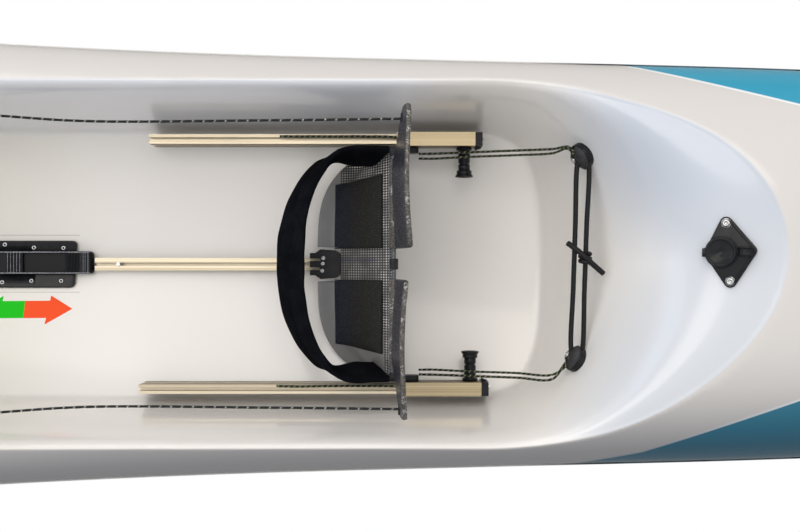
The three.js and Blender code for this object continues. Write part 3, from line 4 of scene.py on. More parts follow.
import bpy
import numpy as np
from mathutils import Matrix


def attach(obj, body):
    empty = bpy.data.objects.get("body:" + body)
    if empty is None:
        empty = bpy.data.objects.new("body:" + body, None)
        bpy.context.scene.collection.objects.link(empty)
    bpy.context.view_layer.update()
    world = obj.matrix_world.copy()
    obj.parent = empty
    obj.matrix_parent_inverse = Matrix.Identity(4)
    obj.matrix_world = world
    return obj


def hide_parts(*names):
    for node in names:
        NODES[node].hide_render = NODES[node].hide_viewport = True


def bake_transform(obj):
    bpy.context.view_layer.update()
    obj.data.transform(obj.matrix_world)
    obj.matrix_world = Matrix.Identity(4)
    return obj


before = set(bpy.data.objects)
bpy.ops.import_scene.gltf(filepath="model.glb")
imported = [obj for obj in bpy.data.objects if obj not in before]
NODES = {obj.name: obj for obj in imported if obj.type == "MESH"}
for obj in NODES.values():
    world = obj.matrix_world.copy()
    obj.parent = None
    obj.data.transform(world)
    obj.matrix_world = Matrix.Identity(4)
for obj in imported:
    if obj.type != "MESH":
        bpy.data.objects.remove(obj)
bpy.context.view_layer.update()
SIDES = (("port", 1), ("starboard", -1))
TAU = 2 * math.pi


# Camera and lamps
CAMERA_AT = (0.545, -0.0022, 1.45)
LENS, SENSOR = 50.5, 36.0  # millimetres


def add_camera():
    """Straight above the footboard, image up to port, at the photograph's distance."""
    data = bpy.data.cameras.new("camera")
    data.sensor_width, data.lens = SENSOR, LENS
    data.clip_end = 60.0
    camera = bpy.data.objects.new("camera", data)
    camera.location = CAMERA_AT
    bpy.context.collection.objects.link(camera)
    bpy.context.scene.camera = camera


def add_lamp(name, place, target, size, power, tint):
    """A soft rectangular lamp turned to face its target."""
    data = bpy.data.lights.new(name, "AREA")
    data.shape = "RECTANGLE"
    data.size, data.size_y = size
    data.energy = power
    data.color = tint
    lamp = bpy.data.objects.new(name, data)
    lamp.location = place
    aim = np.array(target) - np.array(place)
    yaw = math.atan2(aim[1], aim[0])
    pitch = math.atan2(math.hypot(aim[0], aim[1]), -aim[2])
    lamp.rotation_euler = (pitch, 0.0, yaw - math.pi / 2)
    bpy.context.collection.objects.link(lamp)


# Shader maths written as expressions
class Value:
    """A shader socket. Operators on it add Math nodes."""

    def __init__(self, shader, socket):
        self.shader, self.socket = shader, socket

    def math(self, operation, *others):
        return self.shader.node("ShaderNodeMath", {"operation": operation},
                                dict(enumerate((self, *others))))

    def __add__(self, other): return self.math("ADD", other)
    def __radd__(self, other): return self.math("ADD", other)
    def __sub__(self, other): return self.math("SUBTRACT", other)
    def __rsub__(self, other): return self.shader.number(other).math("SUBTRACT", self)
    def __mul__(self, other): return self.math("MULTIPLY", other)
    def __rmul__(self, other): return self.math("MULTIPLY", other)
    def __truediv__(self, other): return self.math("DIVIDE", other)
    def __pow__(self, other): return self.math("POWER", other)
    def __abs__(self): return self.math("ABSOLUTE")
    def sine(self): return self.math("SINE")
    def least(self, other): return self.math("MINIMUM", other)
    def most(self, other): return self.math("MAXIMUM", other)

    def ramp(self, low, high):
        """0 below low, 1 above high, smooth between."""
        return self.shader.node("ShaderNodeMapRange", {"interpolation_type": "SMOOTHSTEP"},
                                {"Value": self, "From Min": low, "From Max": high})


class Shader:
    """A material and its Principled shader. Uniform values go straight onto its sockets."""

    def __init__(self, name, **uniform):
        self.material = bpy.data.materials.new(name)
        self.material.use_nodes = True
        self.tree = self.material.node_tree
        self.shader = self.tree.nodes["Principled BSDF"]
        for key, value in uniform.items():
            self.set(key.replace("_", " "), value)

    def set(self, socket, value):
        target = self.shader.inputs[socket]
        if isinstance(value, Value):
            self.tree.links.new(value.socket, target)
        elif isinstance(value, (tuple, list)) and len(value) == 3:
            target.default_value = (*value, 1.0)
        else:
            target.default_value = value

    def node(self, kind, settings=None, inputs=None, output=0):
        made = self.tree.nodes.new(kind)
        for key, value in (settings or {}).items():
            setattr(made, key, value)
        for key, value in (inputs or {}).items():
            target = made.inputs[key]
            if isinstance(value, Value):
                self.tree.links.new(value.socket, target)
            elif isinstance(value, (tuple, list)) and len(value) == 3 and target.type == "RGBA":
                target.default_value = (*value, 1.0)
            else:
                target.default_value = value
        return Value(self, made.outputs[output])

    def number(self, value):
        return self.node("ShaderNodeMath", {"operation": "ADD"}, {0: value, 1: 0.0})

    def mix_value(self, share, first, second):
        """One of two numbers, or a blend of them by share."""
        return first * (1 - share) + second * share

    def coordinates(self, source="Object"):
        return self.node("ShaderNodeTexCoord", output=source)

    def axes(self, vector):
        return [self.node("ShaderNodeSeparateXYZ", None, {0: vector}, k) for k in range(3)]

    def normal(self):
        """The surface's normal, as its three axes."""
        return self.axes(self.coordinates("Normal"))

    def lengthwise(self):
        """How far along a cord, in diameters, and the angle round it."""
        along, share, _ = self.axes(self.node("ShaderNodeUVMap", {"uv_map": "along"}))
        return along, share * TAU

    def scaled(self, *scale):
        """The object's coordinates stretched by three factors."""
        return self.node("ShaderNodeMapping", None, {"Vector": self.coordinates(), "Scale": scale})

    def noise(self, vector, scale, detail=2.0, roughness=0.5):
        inputs = {"Vector": vector, "Scale": scale, "Detail": detail, "Roughness": roughness}
        return self.node("ShaderNodeTexNoise", None, inputs)

    def cell_edges(self, vector, scale, randomness):
        """Distance to the nearest edge of a pattern of cells."""
        return self.node("ShaderNodeTexVoronoi", {"feature": "DISTANCE_TO_EDGE"},
                         {"Vector": vector, "Scale": scale, "Randomness": randomness})

    def mix(self, factor, one, other):
        return self.node("ShaderNodeMix", {"data_type": "RGBA"}, {0: factor, 6: one, 7: other}, 2)

    def bump(self, height, strength, distance):
        inputs = {"Height": height, "Strength": strength, "Distance": distance}
        self.set("Normal", self.node("ShaderNodeBump", None, inputs))
        return self


# Surfaces on grids
def new_object(name, points, faces):
    """A mesh object of points and faces, in the scene."""
    mesh = bpy.data.meshes.new(name)
    mesh.from_pydata(points, [], faces)
    made = bpy.data.objects.new(name, mesh)
    bpy.context.collection.objects.link(made)
    return made


def mesh_piece(name, points, faces, material, body, replaced=(), uv=None):
    """A mesh from arrays of points and quads, with a finish, riding on a body if one is named."""
    piece = new_object(name, points.tolist(), faces.tolist())
    mesh = piece.data
    mesh.polygons.foreach_set("use_smooth", np.full(len(mesh.polygons), True))
    if uv is not None:
        layer = mesh.uv_layers.new(name="along")
        corner = np.empty(len(mesh.loops), dtype=int)
        mesh.loops.foreach_get("vertex_index", corner)
        layer.data.foreach_set("uv", uv[corner].ravel())
    mesh.materials.append(material)
    mesh.update()
    if body:
        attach(piece, body)
    if replaced:
        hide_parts(*replaced)
    return piece


def together(*parts):
    """Arrays brought to one shape and laid side by side as coordinates."""
    return np.stack(np.broadcast_arrays(*parts), axis=-1)


def carried(grid, place):
    """A grid of points moved by a function that takes a list of points."""
    return place(grid.reshape(-1, 3)).reshape(grid.shape)


def circle(count):
    """Angles evenly spaced round a full turn."""
    return np.arange(count) * TAU / count


def stretches(*rows):
    """Numbers evenly spaced in stretches: a start and a count for each, and last of all the end."""
    *rows, end = rows
    starts = [start for start, _ in rows]
    parts = [np.linspace(start, stop, count, endpoint=False)
             for (start, count), stop in zip(rows, starts[1:])]
    return np.concatenate([*parts, np.linspace(starts[-1], end, rows[-1][1])])


def square_to(way):
    """A unit vector square to a given one."""
    first = np.cross(way, (0.0, 0.0, 1.0) if abs(way[2]) < 0.9 else (1.0, 0.0, 0.0))
    return first / np.linalg.norm(first)


def distances(points):
    """Length along a line of points, from its first one."""
    return np.concatenate([[0.0], np.cumsum(np.linalg.norm(np.diff(points, axis=0), axis=1))])


def grid_faces(rows, columns, wrap_rows=False, wrap_columns=False):
    """Quads between neighbours of a grid, closed round either way where it wraps."""
    i, j = np.meshgrid(np.arange(rows if wrap_rows else rows - 1),
                       np.arange(columns if wrap_columns else columns - 1), indexing="ij")
    a, b = i * columns + j, i * columns + (j + 1) % columns
    c, d = ((i + 1) % rows) * columns + (j + 1) % columns, ((i + 1) % rows) * columns + j
    return np.stack([a, b, c, d], axis=-1).reshape(-1, 4)


def volume(points, faces):
    """Six times the enclosed volume, positive where quads face outwards."""
    p = points[faces]
    first = np.einsum("ij,ij->i", p[:, 0], np.cross(p[:, 1], p[:, 2]))
    second = np.einsum("ij,ij->i", p[:, 0], np.cross(p[:, 2], p[:, 3]))
    return float((first + second).sum())


def closed_grid(name, grid, material, body, replaced=(), loop=False, uv=None):
    """Rings of points in order, each closed: the ends capped from a point at their middle, or
    joined in a loop."""
    rows, columns = grid.shape[:2]
    points = grid.reshape(-1, 3)
    faces = grid_faces(rows, columns, wrap_rows=loop, wrap_columns=True)
    if not loop:
        points = np.vstack([points, grid[0].mean(0), grid[-1].mean(0)])
        here = np.arange(columns)
        after = (here + 1) % columns
        last_row = (rows - 1) * columns
        first = np.stack([np.full(columns, rows * columns), after, here, here], axis=-1)
        last = np.stack([np.full(columns, rows * columns + 1), last_row + here, last_row + after,
                         last_row + after], axis=-1)
        faces = np.vstack([faces, first, last])
        if uv is not None:
            uv = np.vstack([uv.reshape(-1, 2), uv[0].mean(0), uv[-1].mean(0)])
    elif uv is not None:
        uv = uv.reshape(-1, 2)
    if volume(points, faces) < 0:
        faces = faces[:, ::-1]
    if not loop:
        faces = np.array([tuple(dict.fromkeys(face)) for face in faces.tolist()], dtype=object)
    return mesh_piece(name, points, faces, material, body, replaced, uv)


def smooth_route(route, count, closed=False):
    """Points evenly spaced along a centripetal Catmull-Rom curve through a route."""
    p = np.asarray(route, dtype=float)
    if closed:
        p = np.vstack([p[-1], p, p[0], p[1]])
    else:
        p = np.vstack([2 * p[0] - p[1], p, 2 * p[-1] - p[-2]])
    gaps = np.maximum(np.linalg.norm(np.diff(p, axis=0), axis=1), 1e-6)
    knots = np.concatenate([[0.0], np.cumsum(gaps ** 0.5)])
    t = np.linspace(knots[1], knots[-2], 60 * (len(p) - 3) + 1)
    k = np.clip(np.searchsorted(knots, t, side="right") - 1, 1, len(p) - 3)
    at = [knots[k + o][:, None] for o in (-1, 0, 1, 2)]
    near = [p[k + o] for o in (-1, 0, 1, 2)]
    u = t[:, None]

    def between(one, other, start, end):
        return (end - u) / (end - start) * one + (u - start) / (end - start) * other

    pairs = [between(near[i], near[i + 1], at[i], at[i + 1]) for i in range(3)]
    first, second = (between(pairs[i], pairs[i + 1], at[i], at[i + 2]) for i in range(2))
    fine = between(first, second, at[1], at[2])
    run = distances(fine)
    even = np.linspace(0.0, run[-1], count + 1 if closed else count)
    even = even[:-1] if closed else even
    return np.stack([np.interp(even, run, fine[:, axis]) for axis in range(3)], axis=-1)


def side_vectors(path, closed=False):
    """Two unit vectors square to the path at each point, turned as little as possible along it."""
    along = np.roll(path, -1, 0) - np.roll(path, 1, 0)
    if not closed:
        along[0], along[-1] = path[1] - path[0], path[-1] - path[-2]
    along /= np.linalg.norm(along, axis=1)[:, None]
    sides = [square_to(along[0])]
    for step in along[1:]:
        side = sides[-1] - step * np.dot(sides[-1], step)
        sides.append(side / np.linalg.norm(side))
    sides = np.array(sides)
    return sides, np.cross(along, sides)


def cord_piece(name, route, diameter, material, body, replaced=(), closed=False,
               sides=12, pitch=0.6, braid=0.0):
    """A round section carried along a smooth curve; braid swells it in two crossing helices."""
    rough = smooth_route(route, 400, closed)
    length = float(np.linalg.norm(np.diff(rough, axis=0), axis=1).sum())
    count = max(8, int(length / (diameter * pitch)))
    path = smooth_route(route, count, closed)
    across, up = side_vectors(path, closed)
    angle = circle(sides)
    run = np.linspace(0.0, length, len(path))[:, None]
    twist = TAU * run / (diameter * 3.2)
    swell = 1 + braid * np.cos(3 * (angle + twist)) * np.cos(3 * (angle - twist))
    radius = diameter / 2 * swell / (1 + abs(braid))
    c, s = np.cos(angle)[None, :, None], np.sin(angle)[None, :, None]
    spokes = c * across[:, None, :] + s * up[:, None, :]
    ring = path[:, None, :] + radius[..., None] * spokes
    uv = together(run / diameter, angle[None, :] / TAU).astype(float)
    return closed_grid(name, ring, material, body, replaced, loop=closed, uv=uv), path, length


# The boat's own lines, in metres, as arrays
HALF_LENGTH, HALF_BEAM = 2.745, 0.265
BEAM_SHARES = np.array([[-1, 0.05], [-0.947, 0.145], [-0.838, 0.33], [-0.692, 0.55], [-0.51, 0.775],
                        [-0.328, 0.94], [-0.146, 1], [-0.036, 0.97], [0.031, 0.918], [0.136, 0.868],
                        [0.238, 0.838], [0.359, 0.8], [0.546, 0.668], [0.729, 0.47], [0.874, 0.262],
                        [0.967, 0.09], [1, 0.028]])
CROWN_SHARES = np.array([[-1, 0.16], [-0.8, 0.45], [-0.3, 0.72], [0, 0.94], [0.359, 1], [0.7, 0.9],
                         [1, 0.34]])


def smooth_step(value):
    """0 to 1 with level ends: three squares less two cubes."""
    t = np.clip(value, 0.0, 1.0)
    return t * t * (3 - 2 * t)


def follow(table, share):
    """A monotone cubic through a table: harmonic-mean slopes, Hermite between rows."""
    x, y = table[:, 0], table[:, 1]
    slope = np.diff(y) / np.diff(x)
    product = slope[:-1] * slope[1:]
    total = np.where(product > 0, slope[:-1] + slope[1:], 1.0)
    tangent = np.concatenate([[slope[0]], np.where(product > 0, 2 * product / total, 0.0),
                              [slope[-1]]])
    k = np.clip(np.searchsorted(x, share, side="left") - 1, 0, len(x) - 2)
    span = x[k + 1] - x[k]
    t = np.clip((share - x[k]) / span, 0.0, 1.0)
    return ((2 * t**3 - 3 * t**2 + 1) * y[k] + (t**3 - 2 * t**2 + t) * span * tangent[k]
            + (3 * t**2 - 2 * t**3) * y[k + 1] + (t**3 - t**2) * span * tangent[k + 1])


def half_beam(x):
    """Half the boat's width: the greatest half-beam times its table's share."""
    return HALF_BEAM * follow(BEAM_SHARES, x / HALF_LENGTH)


def sheer(x):
    """Height of the joint of hull and deck, rising by a power of the share towards each end."""
    share = x / HALF_LENGTH
    return 0.205 + np.where(share > 0, 0.095 * np.maximum(share, 0) ** 2.4, 0.025 * share**2)


def keel(x):
    """Height of the keel: flat amidships, rising by a power beyond 0.7 m."""
    beyond = np.maximum(0.0, np.abs(x) - 0.7) / (HALF_LENGTH - 0.7)
    return np.where(x > 0, 0.060, 0.075) * beyond**2.2


def plain_deck(x, y):
    """The deck without its cockpit: the sheer and a crown that falls to nothing at the side."""
    share = np.minimum(1.0, np.abs(y) / half_beam(x))
    crown = 0.085 * follow(CROWN_SHARES, x / HALF_LENGTH)
    return sheer(x) + 0.006 + crown * (1 - share**2.6) ** 0.62


def oval(x, y, half_width, aft_start, aft_end, fore_start, fore_end, power):
    """1 on a closed curve with straight sides and rounded ends, less inside it."""
    fore = np.maximum(0.0, (x - fore_start) / (fore_end - fore_start))
    aft = np.maximum(0.0, (aft_start - x) / (aft_start - aft_end))
    return (np.maximum(fore, aft) ** power + (np.abs(y) / half_width) ** power) ** (1 / power)


FLOOR_HALF = 0.158
HUMP_AT, HUMP_REACH = -0.170, 0.130


def cockpit_floor(x, y):
    """A footwell and a raised seat with the thigh hump between them, dished across."""
    seat = smooth_step((HUMP_AT - x) / HUMP_REACH)
    hump = smooth_step(1 - np.abs(x - HUMP_AT) / HUMP_REACH)
    base = 0.062 + 0.022 * seat
    across = np.minimum(1.0, np.abs(y) / FLOOR_HALF)
    return base + (0.142 - base) * hump + (0.030 + 0.016 * seat) * across**2


RIM_HALF, RIM_START, RIM_END = 0.1975, 0.632, 0.943
RIM_LEAN, LEAN_SPAN = 0.013, (0.76, 0.93)
COCKPIT_AFT = (-0.440, -0.600)  # where its rounded end starts and ends


def rim_value(x, y):
    """1 on the bowl's rim: an ellipse whose tip leans a little to port."""
    leaned = y - RIM_LEAN * np.clip((x - LEAN_SPAN[0]) / 0.17, 0.0, 1.0)
    return oval(x, leaned, RIM_HALF, *COCKPIT_AFT, RIM_START, RIM_END, 2.0)


def deck_top(x, y):
    """The crowned deck, sunk to the cockpit floor inside the rim's oval and blended between rim
    and floor."""
    deck = plain_deck(x, y)
    rim_half = 0.197 + 0.016 * smooth_step((HUMP_AT + HUMP_REACH - x) / (2 * HUMP_REACH))
    rim = np.where(x > 0.3, rim_value(x, y), oval(x, y, rim_half, *COCKPIT_AFT, 0.590, 0.940, 2.5))
    floor = oval(x, y, FLOOR_HALF, -0.340, -0.440, 0.600, 0.715, 4.0)
    inward, outward = np.maximum(0.0, 1 - rim), np.maximum(0.0, floor - 1)
    share = np.where(inward > 0, inward / np.maximum(inward + outward, 1e-9), 0.0)
    return deck - (deck - cockpit_floor(x, y)) * smooth_step(share)


def rim_crease(x, y):
    """How far the skin drops just inside the bowl's rim: steep at the rim, fading over a tenth
    of the way in."""
    inward = np.maximum(0.0, 1 - rim_value(x, y))
    drop = (1 - np.exp(-inward / 0.022)) * np.exp(-inward / 0.10)
    return 0.0034 * drop * smooth_step((x - 0.50) / 0.14)


def deck_slopes(x, y, step=0.002):
    """Rise of the deck per metre towards the bow and to port."""
    return ((deck_top(x + step, y) - deck_top(x - step, y)) / (2 * step),
            (deck_top(x, y + step) - deck_top(x, y - step)) / (2 * step))


def deck_normal(x, y):
    """Unit vector square to the deck."""
    slope_x, slope_y = deck_slopes(x, y)
    normal = np.array([-slope_x, -slope_y, 1.0])
    return normal / np.linalg.norm(normal)


def on_deck(points, x, y):
    """Points in a fitting's own frame moved to their place, square on the deck: the shortest
    turn from upright to the normal."""
    n = deck_normal(x, y)
    axis = np.array([-n[1], n[0], 0.0])
    skew = np.array([[0, -axis[2], axis[1]], [axis[2], 0, -axis[0]], [-axis[1], axis[0], 0]])
    turn = np.eye(3) + skew + skew @ skew / (1 + n[2])
    return np.asarray(points) @ turn.T + np.array([x, y, float(deck_top(x, y))])


# Finishes
def gelcoat(name, white, panel):
    """Polished gelcoat: creamy decks and a turquoise panel each side of the bow, with painted
    light: a cool painted reflection in the bowl, warm floor tones brightened towards the bow, a
    lighter port wall, painted shade on faces turned to starboard, and a dark painted shade line in
    the recesses beside the bailer."""
    m = Shader(name, Coat_Roughness=0.09, Specular_IOR_Level=0.5)
    place = m.coordinates()
    x, y, _ = m.axes(place)
    _, side, _ = m.normal()
    leaned = y - x.ramp(*LEAN_SPAN) * RIM_LEAN
    ahead = ((x - RIM_START) / (RIM_END - RIM_START)).most(0.0)
    rim = (ahead * ahead + leaned * leaned / RIM_HALF**2) ** 0.5
    inside = rim.ramp(1.004, 0.992) * x.ramp(-0.6, -0.5)
    # Painted reflection: a cool tint in the bowl stands in for the sky it mirrors, with painted
    # shade making the port half darker.
    cool_reflection_tint = m.mix(y.ramp(-0.06, 0.12), (0.69, 0.715, 0.755), (0.560, 0.605, 0.680))
    # Painted light: the floor's warm tones, lighter aft on the seat and brightest towards the bow,
    # stand in for how light falls across the footwell.
    aft_floor_painted_light = m.mix(x.ramp(-0.22, -0.06), (0.80, 0.78, 0.75), (0.70, 0.67, 0.60))
    fore_floor_painted_light = m.mix(x.ramp(0.62, 0.74), (0.84, 0.81, 0.77), (0.95, 0.92, 0.88))
    floor = m.mix(x.ramp(-0.02, 0.22), aft_floor_painted_light, fore_floor_painted_light)
    bowl = m.mix((x + abs(y) * 0.5).ramp(0.77, 0.87), floor, cool_reflection_tint)
    # Painted light: a lighter, cooler tone on the port wall beside the rail.
    walls = m.mix(abs(y).ramp(0.150, 0.172) * y.ramp(-0.05, 0.05), bowl, (0.80, 0.815, 0.86))
    colour = m.mix(inside, white, m.mix(x.ramp(0.62, 0.52), bowl, walls))
    port = abs(y) + x * 0.281 - 0.4364
    starboard = (abs(y) + x * 0.384 - 0.5085).most(abs(y) + x * 0.226 - 0.3815)
    edge = m.mix_value(y.ramp(-0.01, 0.01), starboard, port)
    # Painted shade: the turquoise darkens on faces turned to starboard, away from the light.
    panel_painted_shade = m.mix(side.ramp(0.0, -0.40), panel, tuple(c * 0.62 for c in panel))
    colour = m.mix(edge.ramp(0.0, 0.0009), colour, (0.86, 0.89, 0.90))
    colour = m.mix(edge.ramp(0.0024, 0.0034), colour, panel_painted_shade)
    # Painted shade: a dark line standing in for the shade in the recesses beside the bailer, with
    # no recess in the surface.
    beside_bailer = x.ramp(0.1500, 0.1490) * x.ramp(-0.02, 0.0) * 0.42
    groove = abs(abs(y - 0.0006) - 0.0352).ramp(0.0011, 0.0003) * beside_bailer
    colour = m.mix(groove, colour, (0.33, 0.31, 0.28))
    # Painted shade: faces turned to starboard darken towards grey, and the panel towards deep blue,
    # as if away from the light.
    shade = m.mix(edge.ramp(0.0, 0.002), (0.17, 0.18, 0.20), (0.01, 0.05, 0.09))
    colour = m.mix(side.ramp(-0.10, -0.75) * (1 - inside) * 0.75, colour, shade)
    mask, half = arrow_marks(x, y)
    colour = m.mix(mask, colour, m.mix(half, (0.0, 0.56, 0.0), (1.0, 0.085, 0.010)))
    m.set("Base Color", colour)
    m.set("Coat Weight", (1 - mask) * 0.35)
    m.set("Roughness", m.noise(place, 40.0, 3.0) * 0.05 + 0.17 + mask * 0.6)
    return m.bump(rim.ramp(0.978, 1.0), 0.5, 0.0016).material


def arrow_marks(x, y):
    """Masks of a plain two-headed arrow by the bailer, as convex shapes, each the least of its
    edges' sides; and of its bow half."""
    def convex(corners):
        sides = None
        for (x1, y1), (x2, y2) in zip(corners, corners[1:] + corners[:1]):
            length = math.hypot(x2 - x1, y2 - y1)
            a, b = (y1 - y2) / length, (x2 - x1) / length
            side = (x * a + y * b - (x1 * a + y1 * b)).ramp(-0.0002, 0.0002)
            sides = side if sides is None else sides.least(side)
        return sides
    bow = convex([(0.1410, -0.0550), (0.1142, -0.0385), (0.1073, -0.0743)])
    body = convex([(0.1140, -0.0450), (0.0440, -0.0455), (0.0440, -0.0666), (0.1090, -0.0662)])
    stern = convex([(0.0556, -0.0388), (0.0265, -0.0565), (0.0500, -0.0748)])
    return bow.most(body).most(stern), (x - y * 0.06).ramp(0.0846, 0.0852)


def seam_tape():
    """White like the hull aft, dark along the turquoise, with a broken pale reflection."""
    m = Shader("seam_tape", Roughness=0.35)
    place = m.coordinates()
    x, _, _ = m.axes(place)
    broken = m.noise(m.scaled(14.0, 1.0, 1.0), 1.0, 2.0).ramp(0.46, 0.54)
    dark = m.mix(broken, (0.012, 0.014, 0.018), (0.10, 0.13, 0.15))
    m.set("Base Color", m.mix(x.ramp(0.66, 0.78), (0.72, 0.71, 0.69), dark))
    return m.bump(m.noise(place, 300.0, 2.0), 0.1, 0.0005).material


def anodised(name, dark, light):
    """Champagne anodised extrusion: fine lines along its length, a slightly worn tone, and painted
    shade on the sawn and side faces, darker wherever a face does not look up."""
    m = Shader(name, Metallic=1.0, Roughness=0.3)
    drawn = m.noise(m.scaled(2.0, 900.0, 900.0), 1.0, 3.0)
    broad = m.noise(m.scaled(9.0, 60.0, 60.0), 1.0, 2.0)
    _, _, up = m.normal()
    top = m.mix(drawn.ramp(0.3, 0.7), dark, light)
    # Painted shade: faces that do not look up take a darker copy of the metal.
    m.set("Base Color", m.mix(up.ramp(0.3, 0.7), tuple(c * 0.55 for c in dark), top))
    m.set("Roughness", broad * 0.14 + 0.36)
    return m.bump(drawn, 0.12, 0.0002).material


def steel():
    """Stainless steel with faint smears."""
    m = Shader("stainless", Metallic=1.0)
    place = m.coordinates()
    smears = m.noise(place, 500.0, 2.0).ramp(0.3, 0.7)
    m.set("Base Color", m.mix(smears, (0.62, 0.62, 0.6138), (0.496, 0.496, 0.496)))
    m.set("Roughness", m.noise(place, 900.0, 2.0) * 0.2 + 0.16)
    return m.bump(m.noise(place, 1400.0, 2.0), 0.1, 0.0001).material


def moulded(name, shade, rough, grain=900.0, depth=0.15):
    """Dark moulded nylon or rubber: fine spark-eroded grain with slightly polished high spots."""
    m = Shader(name, Specular_IOR_Level=0.22)
    place = m.coordinates()
    fine = m.noise(place, grain, 2.0)
    m.set("Base Color", m.mix(m.noise(place, 90.0, 3.0).ramp(0.35, 0.65), shade,
                              tuple(c * 1.5 for c in shade)))
    m.set("Roughness", fine * 0.12 + (rough - 0.06))
    return m.bump(fine, depth, 0.0003).material


def ribbed_black():
    """Black moulding with a painted highlight: its raised ribs and rails turn grey."""
    m = Shader("rib_highlight_moulding", Roughness=0.42, Specular_IOR_Level=0.22)
    place = m.coordinates()
    _, _, z = m.axes(place)
    # Painted highlight: everything above the rib tops' height turns grey.
    high = z.ramp(0.0774, 0.0784) * (0.35 + 0.65 * m.noise(place, 700.0, 2.0).ramp(0.35, 0.65))
    m.set("Base Color", m.mix(high, (0.004, 0.0045, 0.0055), (0.30, 0.31, 0.34)))
    return m.bump(m.noise(place, 900.0, 2.0), 0.1, 0.0003).material


def honeycomb():
    """Clear-coated laminate over small cells: pale cell middles in rows, glinting more in some
    areas than in others."""
    m = Shader("honeycomb_laminate", Coat_Weight=0.35, Coat_Roughness=0.2, Specular_IOR_Level=0.3)
    place = m.coordinates()
    cells = m.cell_edges(place, 430.0, 0.1)
    glint = m.noise(place, 30.0, 2.0)
    spark = m.noise(place, 420.0, 1.0)
    sheen = (glint.ramp(0.30, 0.65) * 0.55 + 0.45) * (spark.ramp(0.3, 0.6) * 0.5 + 0.5)
    mask = cells.ramp(0.10, 0.24) * sheen
    m.set("Base Color", m.mix(mask * 0.85, (0.016, 0.017, 0.021), (0.62, 0.60, 0.56)))
    m.set("Roughness", 0.42 - mask * 0.1)
    return m.bump(cells.ramp(0.0, 0.12), 0.25, 0.0004).material


def pedal_laminate():
    """Dark bluish faces; the cut edges show the pale cells of the core in a speckled line."""
    m = Shader("pedal_laminate", Coat_Weight=0.3, Coat_Roughness=0.2, Specular_IOR_Level=0.3)
    place = m.coordinates()
    ahead, _, up = m.normal()
    cells = m.cell_edges(place, 330.0, 0.4)
    speck = m.noise(m.scaled(1.0, 1.0, 0.2), 520.0, 2.0).ramp(0.45, 0.6)
    face = m.mix(cells.ramp(0.02, 0.16), (0.009, 0.010, 0.017), (0.024, 0.027, 0.042))
    line = m.noise(place, 110.0, 1.0).ramp(0.50, 0.62)
    edge = m.mix(speck * (line * 0.75 + 0.2), (0.060, 0.053, 0.047), (0.40, 0.385, 0.355))
    m.set("Base Color", m.mix(up.ramp(0.25, 0.5).most(ahead.ramp(0.4, 0.6)), face, edge))
    m.set("Roughness", 0.5 - speck * 0.15)
    return m.bump(cells.ramp(0.0, 0.2), 0.2, 0.0003).material


CELL_PITCH = 0.0060


def board_laminate():
    """The board's clear-coated face: pale cell middles in crossing rows, with painted glints that
    make them brightest beside the grip pads and at the port corner, and plain grey on the heel
    lobes."""
    m = Shader("board_laminate", Coat_Weight=0.3, Coat_Roughness=0.22, Specular_IOR_Level=0.3)
    place = m.coordinates()
    x, y, _ = m.axes(place)
    rate = TAU / CELL_PITCH
    rows = ((x + y) * rate).sine() * ((x - y) * rate).sine()
    cells = rows.ramp(0.0, 0.7)
    glint = m.noise(place, 60.0, 2.0).ramp(0.35, 0.65) * 0.6 + 0.4
    # Painted glints: the cells beside the grip pads and at the port corner are lit up in the
    # colour, over a darker ground at the corner.
    beside = x.ramp(0.512, 0.526)
    corner = (x * 0.6 + y).ramp(0.398, 0.415)
    tone = m.mix(y.ramp(0.001, 0.0035) * y.ramp(0.009, 0.0065) * 0.7, (0.36, 0.345, 0.325),
                 (0.10, 0.12, 0.22))
    painted_glint_cells = m.mix(beside.most(corner), tone, (0.74, 0.72, 0.68))
    laminate = m.mix(cells * glint, m.mix(corner, (0.034, 0.034, 0.038), (0.010, 0.010, 0.012)),
                     painted_glint_cells)
    weave = (x * 3100).sine() * (y * 3100).sine() * 0.25 + 0.25
    grey = m.mix(weave + m.noise(place, 60.0, 2.0) * 0.5, (0.155, 0.152, 0.148),
                 (0.245, 0.242, 0.236))
    heel = x.ramp(0.4745, 0.4715) * abs(y).ramp(0.0185, 0.0195)
    lobe = heel.most(y.ramp(-0.080, -0.084) * x.ramp(0.5275, 0.5260))
    m.set("Base Color", m.mix(lobe * (1 - corner), laminate, grey))
    m.set("Roughness", 0.42 - cells * 0.08)
    return m.bump(cells, 0.15, 0.0003).material


STITCH_RATE = 4200.0


def knit_cover():
    """Knitted cover: two crossing waves of stitches, with painted shade in the hollows."""
    m = Shader("knit_cover", Roughness=0.95, Specular_IOR_Level=0.02)
    place = m.coordinates()
    x, y, z = m.axes(place)
    one = ((x + y * 0.6) * STITCH_RATE).sine()
    two = ((z + y * 0.8 - x * 0.3) * STITCH_RATE).sine()
    knit = one * two * 0.5 + 0.5
    worn = m.noise(place, 45.0, 3.0).ramp(0.35, 0.7)
    # Painted shade: the stitches' hollows are darker in the colour.
    m.set("Base Color", m.mix(knit * 0.5 + worn * 0.5, (0.003, 0.0032, 0.0042),
                              (0.009, 0.0098, 0.013)))
    return m.bump(knit * 0.6 + m.noise(place, 500.0, 2.0) * 0.4, 0.3, 0.0005).material


def grit():
    """Dark grip sheet: fine mineral grain, a little bluer towards the heel."""
    m = Shader("heel_grip", Roughness=0.9, Specular_IOR_Level=0.15)
    place = m.coordinates()
    x, _, _ = m.axes(place)
    grain = m.noise(place, 1100.0, 3.0, 0.7)
    tone = m.mix(x.ramp(0.475, 0.500), (0.014, 0.016, 0.026), (0.018, 0.018, 0.017))
    m.set("Base Color", m.mix(grain.ramp(0.48, 0.75), tone, (0.085, 0.085, 0.088)))
    return m.bump(grain, 0.5, 0.0004).material


